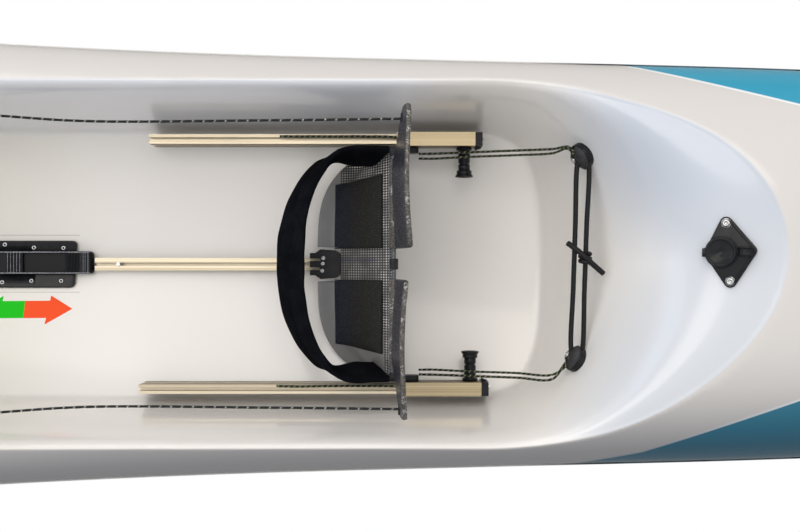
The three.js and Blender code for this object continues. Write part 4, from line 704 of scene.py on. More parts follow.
def flecked_braid(name, fleck, tick_rate, spread, low, share):
    """Braided cord: two helices of strands from the piece's own lengthwise map, with pale flecks
    at a given rate along it."""
    m = Shader(name, Roughness=0.75)
    along, turn = m.lengthwise()
    strands = (along * 2.1 + turn * 3).sine().ramp(-0.3, 0.9)
    strands = strands.most((along * 2.1 - turn * 3).sine().ramp(-0.3, 0.9))
    ticks = (along * tick_rate + turn * spread).sine().ramp(low, low + 0.22)
    broken = (along * 5.3 - turn * 2).sine().ramp(-0.4, 0.5) * 0.6 + 0.4
    colour = m.mix(strands, (0.002, 0.0022, 0.002), (0.008, 0.009, 0.008))
    m.set("Base Color", m.mix(ticks * broken * share, colour, fleck))
    return m.bump(strands, 0.5, 0.0004).material


def woven_cover():
    """Tightly woven black cover: fine crossing strands with a soft sheen."""
    m = Shader("bungee_cover", Roughness=0.55, Specular_IOR_Level=0.3)
    along, turn = m.lengthwise()
    weave = (along * 12.0 + turn * 5).sine() * (along * 12.0 - turn * 5).sine()
    m.set("Base Color", m.mix(weave.ramp(-0.4, 0.6), (0.004, 0.004, 0.0045), (0.013, 0.013, 0.014)))
    return m.bump(weave, 0.25, 0.0002).material


def foam():
    """Closed-cell foam of the bulkheads."""
    m = Shader("closed_cell_foam", Roughness=0.95)
    place = m.coordinates()
    cells = m.node("ShaderNodeTexVoronoi", None, {"Vector": place, "Scale": 400.0})
    m.set("Base Color", m.mix(cells, (0.80, 0.79, 0.74), (0.68, 0.67, 0.62)))
    return m.bump(cells, 0.3, 0.0008).material


# Deck and hull
DECK_WALL, HULL_WALL = 0.004, 0.005
# Corners of the opening for the bailer's duct
DUCT_LOW, DUCT_HIGH = (0.0197, -0.0203), (0.1183, 0.0203)


def stations():
    """Close together in the cockpit, further apart towards the ends."""
    return stretches((-HALF_LENGTH, 70), (-0.72, 287), (1.0, 62), HALF_LENGTH)


def deck_shell(finish):
    """Height of the deck over a grid of stations and shares of the half-beam, and the same grid
    a wall lower."""
    side = stretches((0, 16), (0.6, 30), (0.92, 8), 1)
    share = np.concatenate([-side[:0:-1], side])
    x = stations()[:, None]
    y = half_beam(x) * share[None, :]
    top = together(x, y, deck_top(x, y) - rim_crease(x, y))
    low = np.concatenate([-side[:0:-3], side[::3]])
    low_y = half_beam(x) * low[None, ::-1] * 0.985
    slope = np.hypot(*deck_slopes(x, low_y))
    drop = DECK_WALL * np.minimum(np.hypot(1, slope), 2.2)
    edge = np.abs(low)[None, ::-1] > 0.97
    joint = sheer(x) + 0.0003
    under = together(x, low_y, np.where(edge, joint, deck_top(x, low_y) - drop))
    lip = [together(x, half_beam(x) * s, joint) for s in (1.0, -1.0)]
    ring = np.concatenate([top, lip[0], under, lip[1]], axis=1)
    return closed_grid("deck", ring, finish, "boat", ["deck_shell"])


def hull_skin(x, share, wall):
    """From the keel's flat round the bilge to the sheer: a quarter of a full ellipse, fuller
    amidships."""
    beam = half_beam(x)
    full = beam / HALF_BEAM
    flat = 0.048 * full
    reach = np.maximum(beam - wall, beam * 0.3)
    bottom = keel(x) + (wall / np.maximum(full, 0.2) ** 1.6 if wall else 0.0)
    bottom = np.minimum(bottom, sheer(x) - 0.005)
    angle = share * math.pi / 2
    y = flat + (reach - flat) * np.sin(angle) ** (0.72 + 0.28 * (1 - full))
    z = sheer(x) - (sheer(x) - bottom) * np.maximum(np.cos(angle), 0.0) ** 0.9
    return y, z


def hull_shell(finish):
    """The hull's skin from rim to rim and its liner a wall further in, as one closed ring at
    each station."""
    x = stretches((-HALF_LENGTH, 90), (-0.7, 30), (0.7, 90), HALF_LENGTH)[:, None]
    share = np.sin(np.linspace(0, math.pi / 2, 30))[None, :]
    y, z = hull_skin(x, share, 0.0)
    inner_y, inner_z = hull_skin(x, share[:, ::2], HULL_WALL)
    ring = [together(x, -y, z)[:, ::-1], together(x, y, z),
            together(x, inner_y, inner_z)[:, ::-1], together(x, -inner_y, inner_z)]
    return closed_grid("hull", np.concatenate(ring, axis=1), finish, "boat", ["hull_shell"])


def cut_box(piece, low, high):
    """Takes a box out of a piece, with the walls of the cut closed."""
    centre, size = (np.array(low) + high) / 2, np.array(high) - low
    corners = np.array([[i, j, k] for i in (-0.5, 0.5) for j in (-0.5, 0.5)
                        for k in (-0.5, 0.5)]) * size + centre
    faces = [(0, 1, 3, 2), (4, 6, 7, 5), (0, 4, 5, 1), (2, 3, 7, 6), (0, 2, 6, 4), (1, 5, 7, 3)]
    cutter = new_object("cutter", corners.tolist(), faces)
    modifier = piece.modifiers.new("cut", "BOOLEAN")
    modifier.object, modifier.operation, modifier.solver = cutter, "DIFFERENCE", "EXACT"
    graph = bpy.context.evaluated_depsgraph_get()
    made = bpy.data.meshes.new_from_object(piece.evaluated_get(graph),
                                           preserve_all_data_layers=True, depsgraph=graph)
    piece.modifiers.remove(modifier)
    piece.data = made
    bpy.data.objects.remove(cutter)


def seam_line(finish):
    """A thin dark tape round the joint of hull and deck: a flat strip carried along the sheer of
    each side."""
    x = np.linspace(-HALF_LENGTH + 0.01, HALF_LENGTH - 0.01, 260)
    for name, side in SIDES:
        y = side * half_beam(x)
        section = ((0.0002, -0.004), (0.0014, -0.004), (0.0014, 0.0052), (0.0002, 0.0052))
        rows = [together(x, y + side * out, sheer(x) + up) for out, up in section]
        closed_grid(f"{name}_seam_tape", np.stack(rows, axis=1), finish, "boat")


# Studio
SKY = ((0.05, (0.36, 0.37, 0.40, 1.0)), (0.75, (0.97, 0.97, 0.98, 1.0)))
SKY_WAY = (-0.38, 0.16, 0.90)  # the world is brightest this way
SKY_STRENGTH = 0.86
FLOOR_HEIGHT = -0.0015
FLOOR_CORNERS = ((-9.0, -9.0), (10.0, -9.0), (10.0, 9.0), (-9.0, 9.0))
# Name, place, target, size, power and tint
LAMPS = (("overhead", (0.1, 0.9, 2.7), (0.45, 0.0, 0.1), (2.8, 1.2), 24.0, (1.0, 0.95, 0.88)),
         ("port_window", (0.0, 2.8, 1.5), (0.4, 0.0, 0.1), (2.4, 0.8), 12.0, (1.0, 0.96, 0.90)),
         ("aft_sky", (-2.6, 0.9, 1.7), (0.9, 0.0, 0.2), (2.2, 1.2), 10.0, (0.50, 0.68, 1.0)),
         ("bow_lamp", (3.6, 0.3, 1.8), (0.8, 0.0, 0.2), (1.8, 1.0), 12.0, (1.0, 0.93, 0.84)))


def studio():
    """A floor that shows plain white to the camera and its own paper colour to reflections and
    light, and soft lamps."""
    corners = [(x, y, FLOOR_HEIGHT) for x, y in FLOOR_CORNERS]
    floor = new_object("floor", corners, [(0, 1, 2, 3)])
    m = Shader("floor_paper", Roughness=0.9)
    m.set("Base Color", m.mix(m.noise(m.coordinates(), 2.0), (0.36, 0.355, 0.345),
                              (0.39, 0.385, 0.375)))
    glow = m.node("ShaderNodeEmission", None, {"Color": (1.0, 1.0, 1.0), "Strength": 1.0})
    seen = m.node("ShaderNodeLightPath")
    blend = m.node("ShaderNodeMixShader", None,
                   {0: seen, 1: Value(m, m.shader.outputs[0]), 2: glow})
    m.tree.links.new(blend.socket, m.tree.nodes["Material Output"].inputs["Surface"])
    floor.data.materials.append(m.material)
    world = bpy.data.worlds.new("studio")
    world.use_nodes = True
    tree = world.node_tree
    sky, out = tree.nodes["Background"], tree.nodes["World Output"]
    kinds = ("TexCoord", "ValToRGB", "VectorMath", "Background", "LightPath", "MixShader")
    way, ramp, tilt, plain, paths, either = (tree.nodes.new("ShaderNode" + kind) for kind in kinds)
    sky.inputs["Strength"].default_value = SKY_STRENGTH
    for stop, (position, colour) in zip(ramp.color_ramp.elements, SKY):
        stop.position, stop.color = position, colour
    tilt.operation = "DOT_PRODUCT"
    tilt.inputs[1].default_value = SKY_WAY
    plain.inputs["Color"].default_value = (1, 1, 1, 1)
    wires = ((way.outputs["Generated"], tilt.inputs[0]), (tilt.outputs["Value"], ramp.inputs[0]),
             (ramp.outputs["Color"], sky.inputs["Color"]),
             (paths.outputs["Is Camera Ray"], either.inputs[0]),
             (sky.outputs[0], either.inputs[1]), (plain.outputs[0], either.inputs[2]),
             (either.outputs[0], out.inputs[0]))
    for source, target in wires:
        tree.links.new(source, target)
    bpy.context.scene.world = world
    bpy.context.scene.view_settings.view_transform = "Standard"
    for lamp in LAMPS:
        add_lamp(*lamp)


def paint(finish, *names):
    """A finish for every slot of the named nodes."""
    for name in names:
        for material_slot in NODES[name].material_slots:
            material_slot.material = finish


def both(*endings):
    """Names of the port and the starboard node for each ending."""
    return [f"{side}_{ending}" for side in ("port", "starboard") for ending in endings]


add_camera()
studio()
WHITE = gelcoat("white_gelcoat", (0.705, 0.678, 0.650), (0.030, 0.345, 0.52))
CHAMPAGNE = anodised("champagne_anodised", (0.55, 0.47, 0.34), (0.80, 0.71, 0.55))
ROD_STEEL = anodised("rod_steel", (0.07, 0.07, 0.075), (0.17, 0.17, 0.18))
BRUSHED = anodised("brushed_slider", (0.42, 0.34, 0.21), (0.58, 0.48, 0.31))
STEEL = steel()
BLACK = moulded("black_nylon", (0.012, 0.0125, 0.014), 0.38)
GLOSS_BLACK = moulded("black_gloss_nylon", (0.010, 0.0105, 0.012), 0.22, 700.0, 0.06)
# A satin finish whose black is lighter than the gloss base's: a painted highlight standing in for
# the light on the hood's dome.
SATIN_BLACK = moulded("hood_nylon", (0.030, 0.030, 0.031), 0.42, 500.0, 0.03)
RIBBED = ribbed_black()
RUBBER = moulded("black_rubber", (0.018, 0.018, 0.020), 0.62, 1200.0, 0.3)
HONEYCOMB = honeycomb()
PEDAL_FACE = pedal_laminate()
BOARD_FACE = board_laminate()
GRIT = grit()
FABRIC = knit_cover()
CORD_FINISH = flecked_braid("flecked_cord", (0.46, 0.56, 0.26), 2.9, 1.0, 0.66, 0.8)
LINE_FINISH = flecked_braid("ticked_line", (0.66, 0.70, 0.62), 1.55, 0.35, 0.80, 0.85)
BUNGEE_CORD = woven_cover()
FOAM = foam()

for shell, low, high in ((deck_shell, 0.03, 0.10), (hull_shell, -0.03, 0.03)):
    cut_box(shell(WHITE), (*DUCT_LOW, low), (*DUCT_HIGH, high))
seam_line(seam_tape())

# The CAD's nodes that no finer piece replaces
paint(CHAMPAGNE, "centre_rail", *both("side_rail"))
paint(BRUSHED, *both("slider"))
paint(ROD_STEEL, "pedal_hinge_rod")
paint(STEEL, "centre_rail_screw", "rudder_bracket", "rudder_shaft", "rudder_pivot_bolt",
      *both("end_cap_screw", "pin_spring"))
paint(BLACK, "heel_carriage", "bailer_duct", "bailer_flap", "rudder_head",
      *both("rail_end_cap", "line_conduit"))
paint(RUBBER, "bow_carry_handle", "stern_carry_handle")
paint(HONEYCOMB, "rudder_blade")
paint(FOAM, "bow_bulkhead", "stern_bulkhead")


# Foot strap
STRAP_SHARES = np.array([[1, 0.1, 0.5], [1, 0.26, 0.5], [1, 0.42, 0.52], [0.95, 0.6, 0.6],
                         [0.8, 0.78, 0.74], [0.52, 0.93, 0.9], [0.24, 0.99, 0.98], [0, 1, 1]])
STRAP_FOOT, STRAP_REACH, STRAP_HALF = 0.545, 0.124, 0.1318
STRAP_HEIGHT, STRAP_RISE = 0.152, 0.056
STRAP_WIDTH, STRAP_THICK = 0.050, 0.0095


def foot_strap(finish):
    """A padded band: a flattened section with a sewn groove and a bound edge, carried over the
    arch and leaned back at its middle."""
    across, aft, lift = STRAP_SHARES.T
    half = together(STRAP_FOOT - STRAP_REACH * aft, STRAP_HALF * across,
                    STRAP_HEIGHT + STRAP_RISE * (lift - 0.5))
    route = np.vstack([half, half[-2::-1] * (1, -1, 1)])
    path = smooth_route(route, 220)
    along = np.gradient(path, axis=0)
    along /= np.linalg.norm(along, axis=1)[:, None]
    share = np.linspace(0, 1, len(path))
    tuck = smooth_step((np.abs(share - 0.5) - 0.285) / 0.13)
    path[:, 1] -= np.sign(path[:, 1]) * 0.0070 * tuck
    lean = np.sin(share * math.pi) ** 1.5 * 0.72 * (1 - tuck) - 0.38 * tuck
    outward = together(along[:, 1], -along[:, 0], 0.0)
    outward /= np.linalg.norm(outward, axis=1)[:, None]
    outward[(outward[:, 0] > 0) & (np.abs(path[:, 1]) < 0.1143)] *= -1
    up = np.array([0.0, 0.0, 1.0])
    across = up * np.cos(lean)[:, None] - outward * np.sin(lean)[:, None]
    face = up * np.sin(lean)[:, None] + outward * np.cos(lean)[:, None]
    angle = circle(48)
    u = -0.5 * np.cos(angle)
    bulge = np.sqrt(np.maximum(0.0, 1 - np.abs(2 * u) ** 3.0))
    grooves = ((0.62, -0.02, 0.035), (0.35, 0.39, 0.02), (0.3, -0.41, 0.02))
    groove = sum(depth * np.exp(-((u - at) / wide) ** 2) for depth, at, wide in grooves)
    rising = np.sin(angle)
    v = np.sign(rising) * (0.08 + 0.42 * bulge) * np.where(rising > 0, 1 - groove, 1.0)
    v = np.where(np.abs(rising) < 1e-6, 0.0, v)
    row = share[:, None]
    swell = 1 + 0.07 * np.sin(row * 61 + u[None, :] * 5) * np.sin(row * 23 + 1.3)
    width = STRAP_WIDTH * (1 - 0.12 * smooth_step((np.abs(share - 0.5) - 0.36) / 0.14))
    width += 0.0016 * np.sin(share * 47) * np.sin(share * 19)
    flat = across[:, None, :] * (u[None, :] * width[:, None])[..., None]
    thick = face[:, None, :] * (v[None, :] * swell * STRAP_THICK)[..., None]
    ring = path[:, None, :] + flat + thick
    uv = together(share[:, None] * 0.4, u[None, :]).astype(float)
    strap = closed_grid("padded_foot_strap", ring, finish, "board", ["foot_strap"], uv=uv)
    return strap


foot_strap(FABRIC)


# Cords
RAIL_TOP = 0.13145
BLOCK_AT = {1: (0.750, 0.122), -1: (0.747, -0.109)}
BLOCK_TURN = math.pi / 4
PORT_TAIL = [(0.541, 0.149, 0.0038), (0.532, 0.1495, 0.0028), (0.505, 0.150, 0.0017),
             (0.460, 0.150, 0.0017), (0.425, 0.150, 0.0017), (0.404, 0.150, 0.0017)]
STARBOARD_TAIL = [(0.548, -0.1435, 0.0038), (0.539, -0.1432, 0.0028), (0.510, -0.143, 0.0017),
                  (0.460, -0.143, 0.0017), (0.425, -0.1435, 0.0017), (0.400, -0.143, 0.0017)]
LINE_ROUTE = [(0.549, 0.156, 0.2444), (0.400, 0.156, 0.231), (0.200, 0.1575, 0.213),
              (0.110, 0.164, 0.2035), (0.024, 0.1722, 0.1966)]
REAR_ROUTE = [(-2.588, 0.030, 0.2658), (-2.640, 0.031, 0.266), (-2.7704, 0.034, 0.266)]
CORD, BUNGEE = 0.003, 0.0058  # diameters
CHANNEL_RADIUS, CHANNEL_HEIGHT = 0.00185, 0.00985  # of the cord in a block


def block_point(side, across, along, up):
    """A point in the turning block's own frame, its channel turned an eighth of a circle."""
    c, s = math.cos(side * BLOCK_TURN), math.sin(side * BLOCK_TURN)
    return on_deck([[across * c - along * s, across * s + along * c, up]], *BLOCK_AT[side])[0]


def forward_route(side):
    """From the board's arm over the pull pin into the block's channel, round its bend and back."""
    start = 0.5673
    out = [(0, 0.131, 0.117), (0.016, 0.131, 0.119), (0.054, 0.1315, 0.128), (0.113, 0.131, 0.156),
           (0.150, 0.130, 0.181)]
    back = [(0.150, 0.1255, 0.178), (0.113, 0.126, 0.152), (0.054, 0.1265, 0.124),
            (0.016, 0.1255, 0.114), (0, 0.126, 0.111)]
    place = lambda p: (start + p[0], side * p[1], p[2])
    channel = lambda across, along: block_point(side, -side * across, side * along, CHANNEL_HEIGHT)
    r = CHANNEL_RADIUS
    bend = [channel(-r * math.cos(k * math.pi / 4), -r * math.sin(k * math.pi / 4))
            for k in range(5)]
    block = [channel(-r, 0.015), *bend, channel(r, 0.015)]
    return [place(p) for p in out] + block + [place(p) for p in back]


def add_cords(finish, line_finish):
    """On each side the steering line in two stretches, the loop to the block, and the free tail
    on its rail."""
    for name, side in SIDES:
        def lay(piece, route, finish, body, node):
            return cord_piece(f"{name}_{piece}", route, CORD, finish, body, [f"{name}_{node}"],
                              braid=0.10)

        line, rear = ([(x, side * y, z) for x, y, z in route] for route in (LINE_ROUTE, REAR_ROUTE))
        lay("footwell_line", line, line_finish, "boat", "steering_line")
        stern, _, _ = lay("stern_line", rear, line_finish, None, "rear_steering_line")
        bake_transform(stern)
        lay("cord_loop", forward_route(side), finish, "boat", "forward_cord")
        route = [(x, y, RAIL_TOP + z) for x, y, z in (PORT_TAIL if side > 0 else STARBOARD_TAIL)]
        tail, path, length = lay("tail_cord", route, finish, "board", "cord_tail")


def bungee_seat(side):
    """Inside the block's rim, so that both strands leave from under it."""
    x, y = BLOCK_AT[side]
    return np.array([x - 0.0022, y - side * 0.0125, float(deck_top(x, y)) + 0.0058])


def bungee(finish):
    """Two strands between the blocks closed by a bend at each end, and a knot: a helix of two
    turns round a strand with its tails."""
    half = 0.0063
    loop = []
    for side in (1, -1):
        end = bungee_seat(side)
        for k in range(5):
            angle = side * (k / 4 - 0.5) * math.pi
            loop.append(end + (half * math.sin(angle), side * half * math.cos(angle), 0))
        loop += [end + (bungee_seat(-side) - end) * share + (side * half, 0, 0)
                 for share in (1 / 3, 2 / 3)]
    cord_piece("bungee", loop, BUNGEE, finish, "boat", ["bungee_loop"], closed=True, braid=0.06,
               sides=20, pitch=0.3)
    x, y, z = (bungee_seat(1) + bungee_seat(-1)) / 2 + (half, 0, 0)
    t = np.linspace(0, 1, 44)
    turns = TAU * 2.2 * t
    coil = np.stack([x + 0.0054 * np.cos(turns) - 0.0005, y - 0.0056 + 0.0112 * t,
                     z + 0.0054 * np.sin(turns)], -1)
    cord_piece("bungee_knot", coil, 0.0052, finish, "boat", braid=0.06, sides=14, pitch=0.35)
    tails = [(x - 0.020, y + 0.017, z - 0.001), (x - 0.010, y + 0.009, z + 0.0045),
             (x, y, z + 0.0062), (x + 0.009, y - 0.008, z + 0.0038),
             (x + 0.020, y - 0.017, z - 0.001)]
    cord_piece("bungee_knot_tails", tails, 0.0064, finish, "boat", braid=0.06, sides=14, pitch=0.35)


add_cords(CORD_FINISH, LINE_FINISH)
bungee(BUNGEE_CORD)


# Footboard and pedals
HINGE_X, HINGE_Z = 0.538, 0.1982
PEDAL_START, PEDAL_HEIGHT = 0.017, 0.086
PEDAL_REACH = {1: 0.154, -1: 0.149}
PEDAL_LEAN = {1: 0.0145, -1: 0.0095}
EYE_Y, EYE_HEIGHT = 0.156, 0.046  # of the steering line's hole in a pedal
PLATE_HALF = 0.003  # half the thickness of board and pedals


def local_turned(name, profile, place, centre, finish, body, replaced=(), sides=40,
                 lobes=None):
    """A profile of (radius, height) turned round the upright of its own frame, which place
    moves; lobes scales the radius with the angle."""
    radius, height = np.asarray(profile, dtype=float).T
    angle = circle(sides)
    grow = np.ones(sides) if lobes is None else lobes(angle)
    u = centre[0] + radius[:, None] * grow * np.cos(angle)
    v = centre[1] + radius[:, None] * grow * np.sin(angle)
    ring = together(u, v, height[:, None])
    return closed_grid(name, carried(ring, place), finish, body, replaced)


def turned(name, profile, origin, axis, finish, body, replaced=(), sides=48):
    """A profile of (radius, distance along the axis) turned round an axis through the origin."""
    first = square_to(axis)
    upright = np.array([first, np.cross(axis, first), axis])
    place = lambda points: points @ upright + origin
    return local_turned(name, profile, place, (0, 0), finish, body, replaced, sides)


def rounded_slab(name, outline, low, high, finish, body, replaced=(), round_off=0.0006,
                 place=None):
    """A flat outline between two heights with its edges rounded: rings of the outline drawn in
    by a quarter circle at each face."""
    outline = np.asarray(outline, dtype=float)
    middle = outline.mean(0)
    along = np.roll(outline, -1, 0) - np.roll(outline, 1, 0)
    normal = np.stack([along[:, 1], -along[:, 0]], -1)
    normal /= np.linalg.norm(normal, axis=1)[:, None]
    if ((outline - middle) * normal).sum() < 0:
        normal = -normal
    quarter = np.linspace(0, math.pi / 2, 5)
    steps = [(round_off * (1 - math.sin(q)), low + round_off * (1 - math.cos(q))) for q in quarter]
    steps += [(round_off * (1 - math.cos(q)), high - round_off * (1 - math.sin(q)))
              for q in quarter]
    rings = []
    for inset, height in steps:
        rings.append(together(*(outline - normal * inset).T, height))
    rings = np.stack(rings)
    if place is not None:
        rings = carried(rings, place)
    return closed_grid(name, rings, finish, body, replaced)


def superellipse(count, power):
    """Points on a unit oval that a higher power makes squarer."""
    angle = circle(count)
    c, s = np.cos(angle), np.sin(angle)
    return np.sign(c) * np.abs(c) ** (2 / power), np.sign(s) * np.abs(s) ** (2 / power)


EDGE_SHARES = np.array([[0, 0.04, 0.88], [0.02, 0.01, 0.95], [0.08, 0, 0.985], [0.3, 0, 1],
                        [0.55, 0, 1], [0.63, 0.0, 1], [0.67, 0.14, 1], [0.74, 0.28, 0.99],
                        [0.86, 0.38, 0.95], [0.94, 0.44, 0.88], [0.985, 0.52, 0.78], [1, 0.6, 0.7]])


def pedal(name, side, plate_finish, edge_finish):
    """A bowed plate leaning to the bow: a rounded section between a lower and an upper edge,
    carried across the pedal's width."""
    across = stretches((0, 14), (0.08, 70), (0.9, 18), 1)
    low, high = (np.interp(across, EDGE_SHARES[:, 0], EDGE_SHARES[:, k]) * PEDAL_HEIGHT
                 for k in (1, 2))
    u, v = superellipse(36, 7.0)
    height = ((low + high) / 2)[:, None] + ((high - low) / 2)[:, None] * u[None, :]
    y = side * (PEDAL_START + PEDAL_REACH[side] * across)[:, None]
    bow = (0.005 * (2 * across - 1) ** 2)[:, None]
    near_end = ((np.abs(2 * across - 1) - 0.97) / 0.03).clip(0, 1)
    thick = PLATE_HALF * np.sqrt(np.maximum(0.02, 1 - near_end**2))[:, None]
    x = HINGE_X + bow + PEDAL_LEAN[side] * height / PEDAL_HEIGHT + thick * v[None, :]
    body = f"{name}_pedal_body"
    closed_grid(f"{name}_pedal_plate", together(x, y, HINGE_Z + height), plate_finish, body,
                [f"{name}_pedal"])
    barrel = [(0.0027, 0.0), (0.0044, 0.0), (0.005, 0.0006), (0.005, 0.0994), (0.0044, 0.1),
              (0.0027, 0.1)]
    turned(f"{name}_pedal_barrel", barrel, (HINGE_X, side * PEDAL_START, HINGE_Z), (0, side, 0),
           plate_finish, body)
    eye = [(0.0058 + 0.0011 * math.cos(t), 0.0036 * math.sin(t)) for t in circle(20)]
    lean = PEDAL_LEAN[side] * (EYE_HEIGHT / PEDAL_HEIGHT)
    centre = np.array([HINGE_X + lean + 0.0035, side * EYE_Y, HINGE_Z + EYE_HEIGHT])
    rings = np.array([[centre + (a, r * math.cos(p), r * math.sin(p)) for p in circle(36)]
                      for r, a in eye])
    closed_grid(f"{name}_pedal_eye", rings, edge_finish, body, loop=True)


BOARD_HALF, BOARD_FLAT, NOTCH_HALF = 0.127, 0.1235, 0.0225


def board_profile(y, share):
    """Side view of the board at a distance from its middle: shelf, slope and upright top, as one
    smooth curve."""
    heel_x = 0.447 + 0.044 * (np.abs(y) / BOARD_HALF) ** 4
    shelf_x, back_x = heel_x + 0.020, 0.533
    knots = np.array([0.0, 0.18, 0.58, 0.89, 1.0])
    px = np.stack(np.broadcast_arrays(heel_x, shelf_x, (shelf_x + back_x) / 2 - 0.0006, back_x,
                                      0.5333))
    pz = np.array([0.089, 0.095, 0.1375, 0.180, 0.192])
    x = np.stack([np.interp(share, knots, px[:, k]) for k in range(len(y))])
    z = np.interp(share, knots, pz)[None, :].repeat(len(y), 0)
    kernel = np.array([1, 2, 3, 2, 1]) / 9
    for _ in range(2):
        for line in (x, z):
            line[:, 2:-2] = sum(kernel[k] * line[:, k:line.shape[1] - 4 + k] for k in range(5))
    return x, z


def footboard(finish, trim):
    """The board's side view carried across its width, notched for the carriage, with rounded
    edges; arms and hinge lugs beside it."""
    beside = np.concatenate([np.linspace(NOTCH_HALF, BOARD_FLAT, 45)[1:],
                             np.linspace(BOARD_FLAT, BOARD_HALF, 7)[1:]])
    y = np.concatenate([-beside[::-1], np.linspace(-NOTCH_HALF, NOTCH_HALF, 31), beside])
    share = np.linspace(0, 1, 46)
    x, z = board_profile(y, share)
    notch = 1 - smooth_step((np.abs(y) - 0.0195) / 0.0012)
    start_x = x[:, 0] + notch * np.maximum(0.0, 0.4742 - x[:, 0])
    moved, moved_z = np.empty_like(x), np.empty_like(z)
    for k in range(len(y)):
        begin = np.interp(start_x[k], x[k], share) if start_x[k] > x[k, 0] else 0.0
        s = begin + (1 - begin) * share
        moved[k], moved_z[k] = np.interp(s, share, x[k]), np.interp(s, share, z[k])
    dx, dz = np.gradient(moved, axis=1), np.gradient(moved_z, axis=1)
    along = np.stack([dx, dz], -1) / np.hypot(dx, dz)[..., None]
    down = np.stack([along[..., 1], -along[..., 0]], -1)
    middle = np.stack([moved, moved_z], -1) + down * PLATE_HALF
    near_end = (np.abs(y) - 0.1245).clip(0) / 0.0025
    half = PLATE_HALF * np.sqrt(np.clip(1 - near_end**2, 0.0, 1.0))[:, None, None]
    theta = np.linspace(math.pi / 2, -math.pi / 2, 9)[1:-1, None]

    def edge(k, way):
        """Half a circle round the board's end at column k, from its top face to its underside."""
        rounding = down[:, k, None] * np.sin(theta) + way * along[:, k, None] * np.cos(theta)
        return middle[:, k, None] - half * rounding

    top, under = middle - down * half, middle + down * half
    section = np.concatenate([top, edge(-1, -1), under[:, ::-1], edge(0, 1)[:, ::-1]], axis=1)
    ring = together(section[..., 0], y[:, None], section[..., 1])
    faces = grid_faces(*ring.shape[:2], wrap_columns=True)
    points = ring.reshape(-1, 3)
    if volume(points, faces) < 0:
        faces = faces[:, ::-1]
    mesh_piece("foot_plate", points, faces, finish, "board", ["footboard"])
    arm = [(0.509, 0.108), (0.563, 0.108), (0.567, 0.112), (0.567, 0.121), (0.563, 0.125),
           (0.515, 0.125)]
    upright = lambda side: lambda p: np.stack([p[:, 0], side * p[:, 2], p[:, 1]], -1)
    for name, side in SIDES:
        rounded_slab(f"{name}_foot_plate_arm", arm, 0.1315, 0.1386, trim, "board",
                     round_off=0.0012, place=upright(side))
        rounded_slab(f"{name}_hinge_lug", lug_outline(), 0.121, BOARD_HALF, trim, "board",
                     place=upright(side))
    rounded_slab("middle_hinge_lug", lug_outline(), -0.006, 0.006, trim, "board",
                 place=upright(1))


def lug_outline():
    """A foot on the board's top edge that rounds over the hinge rod."""
    radius, foot = 0.005, 0.1812
    angle = np.linspace(0, math.pi, 13)
    arc = np.stack([HINGE_X + radius * np.cos(angle), HINGE_Z + radius * np.sin(angle)], -1)
    return np.vstack([[(HINGE_X + radius, foot)], arc, [(HINGE_X - radius, foot)]])


for name, side in SIDES:
    pedal(name, side, PEDAL_FACE, BLACK)
footboard(BOARD_FACE, BLACK)


# Fittings on the deck and floor
def screw_profile(radius, low, height, socket=0.45):
    """A domed head with a sunk socket, from its foot round to the middle of the socket."""
    return [(radius * 0.9, low), (radius, low), (radius, low + height * 0.35),
            (radius * 0.88, low + height * 0.75), (radius * 0.68, low + height),
            (radius * socket, low + height * 0.92), (radius * socket * 0.9, low + height * 0.3),
            (radius * 0.2, low + height * 0.25)]


def turning_block(name, side):
    """A round base with a low boss, a half-moon hood beyond the channel, and a ringed screw in
    the boss."""
    place = lambda points: on_deck(points, *BLOCK_AT[side])
    turn = side * math.radians(19)
    c, s = math.cos(turn), math.sin(turn)
    boss = np.array([-0.0072, -side * 0.0040])
    radii = np.array([0.0149, 0.0150, 0.0150, 0.0148, 0.0143, 0.0134,
                      *np.linspace(0.0115, 0.0015, 6)])
    lift = np.array([-0.003, -0.0026, 0.0060, 0.0068, 0.0075, 0.0079, *[0.0080] * 6])
    angle = circle(48)
    u, v = radii[:, None] * np.cos(angle), radii[:, None] * np.sin(angle)
    away = np.hypot(u - boss[0], v - boss[1]) / 0.0068
    rise = np.where(lift[:, None] > 0.0079, 0.0030 * smooth_step((1.25 - away) / 0.5), 0.0)
    ring = together(u, v, lift[:, None] + rise)
    closed_grid(f"{name}_block_base", carried(ring, place), GLOSS_BLACK, "boat",
                [f"{name}_turning_block"])
    reach, near, low, high = 0.0153, 0.0052, 0.0083, 0.0158
    half = math.sqrt(reach**2 - near**2) * 0.999
    t = half * np.sin(np.linspace(-math.pi / 2, math.pi / 2, 33))[:, None]
    share = np.sin(np.linspace(0, math.pi / 2, 14))[None, :]
    far = np.sqrt(reach**2 - t**2)
    across = near + (far - near) * share
    drop = (across / reach) ** 2 + (t / reach) ** 2
    dome = low + (high - low) * np.clip(1 - drop, 0, 1) ** 0.42
    foot = [together(t, ends, low) for ends in (far, near)]
    ring = np.concatenate([together(t, across, dome), *foot], axis=1)
    a, b = side * ring[..., 0], ring[..., 1]
    ring = together(b * c - a * s, b * s + a * c, ring[..., 2])
    # The hood's lighter black holds a painted highlight.
    closed_grid(f"{name}_hood", carried(ring, place), SATIN_BLACK, "boat",
                [f"{name}_block_hood"])
    local_turned(f"{name}_ring_screw", screw_profile(0.0034, 0.0106, 0.0020), place, boss, STEEL,
                 "boat", [f"{name}_block_screw"])


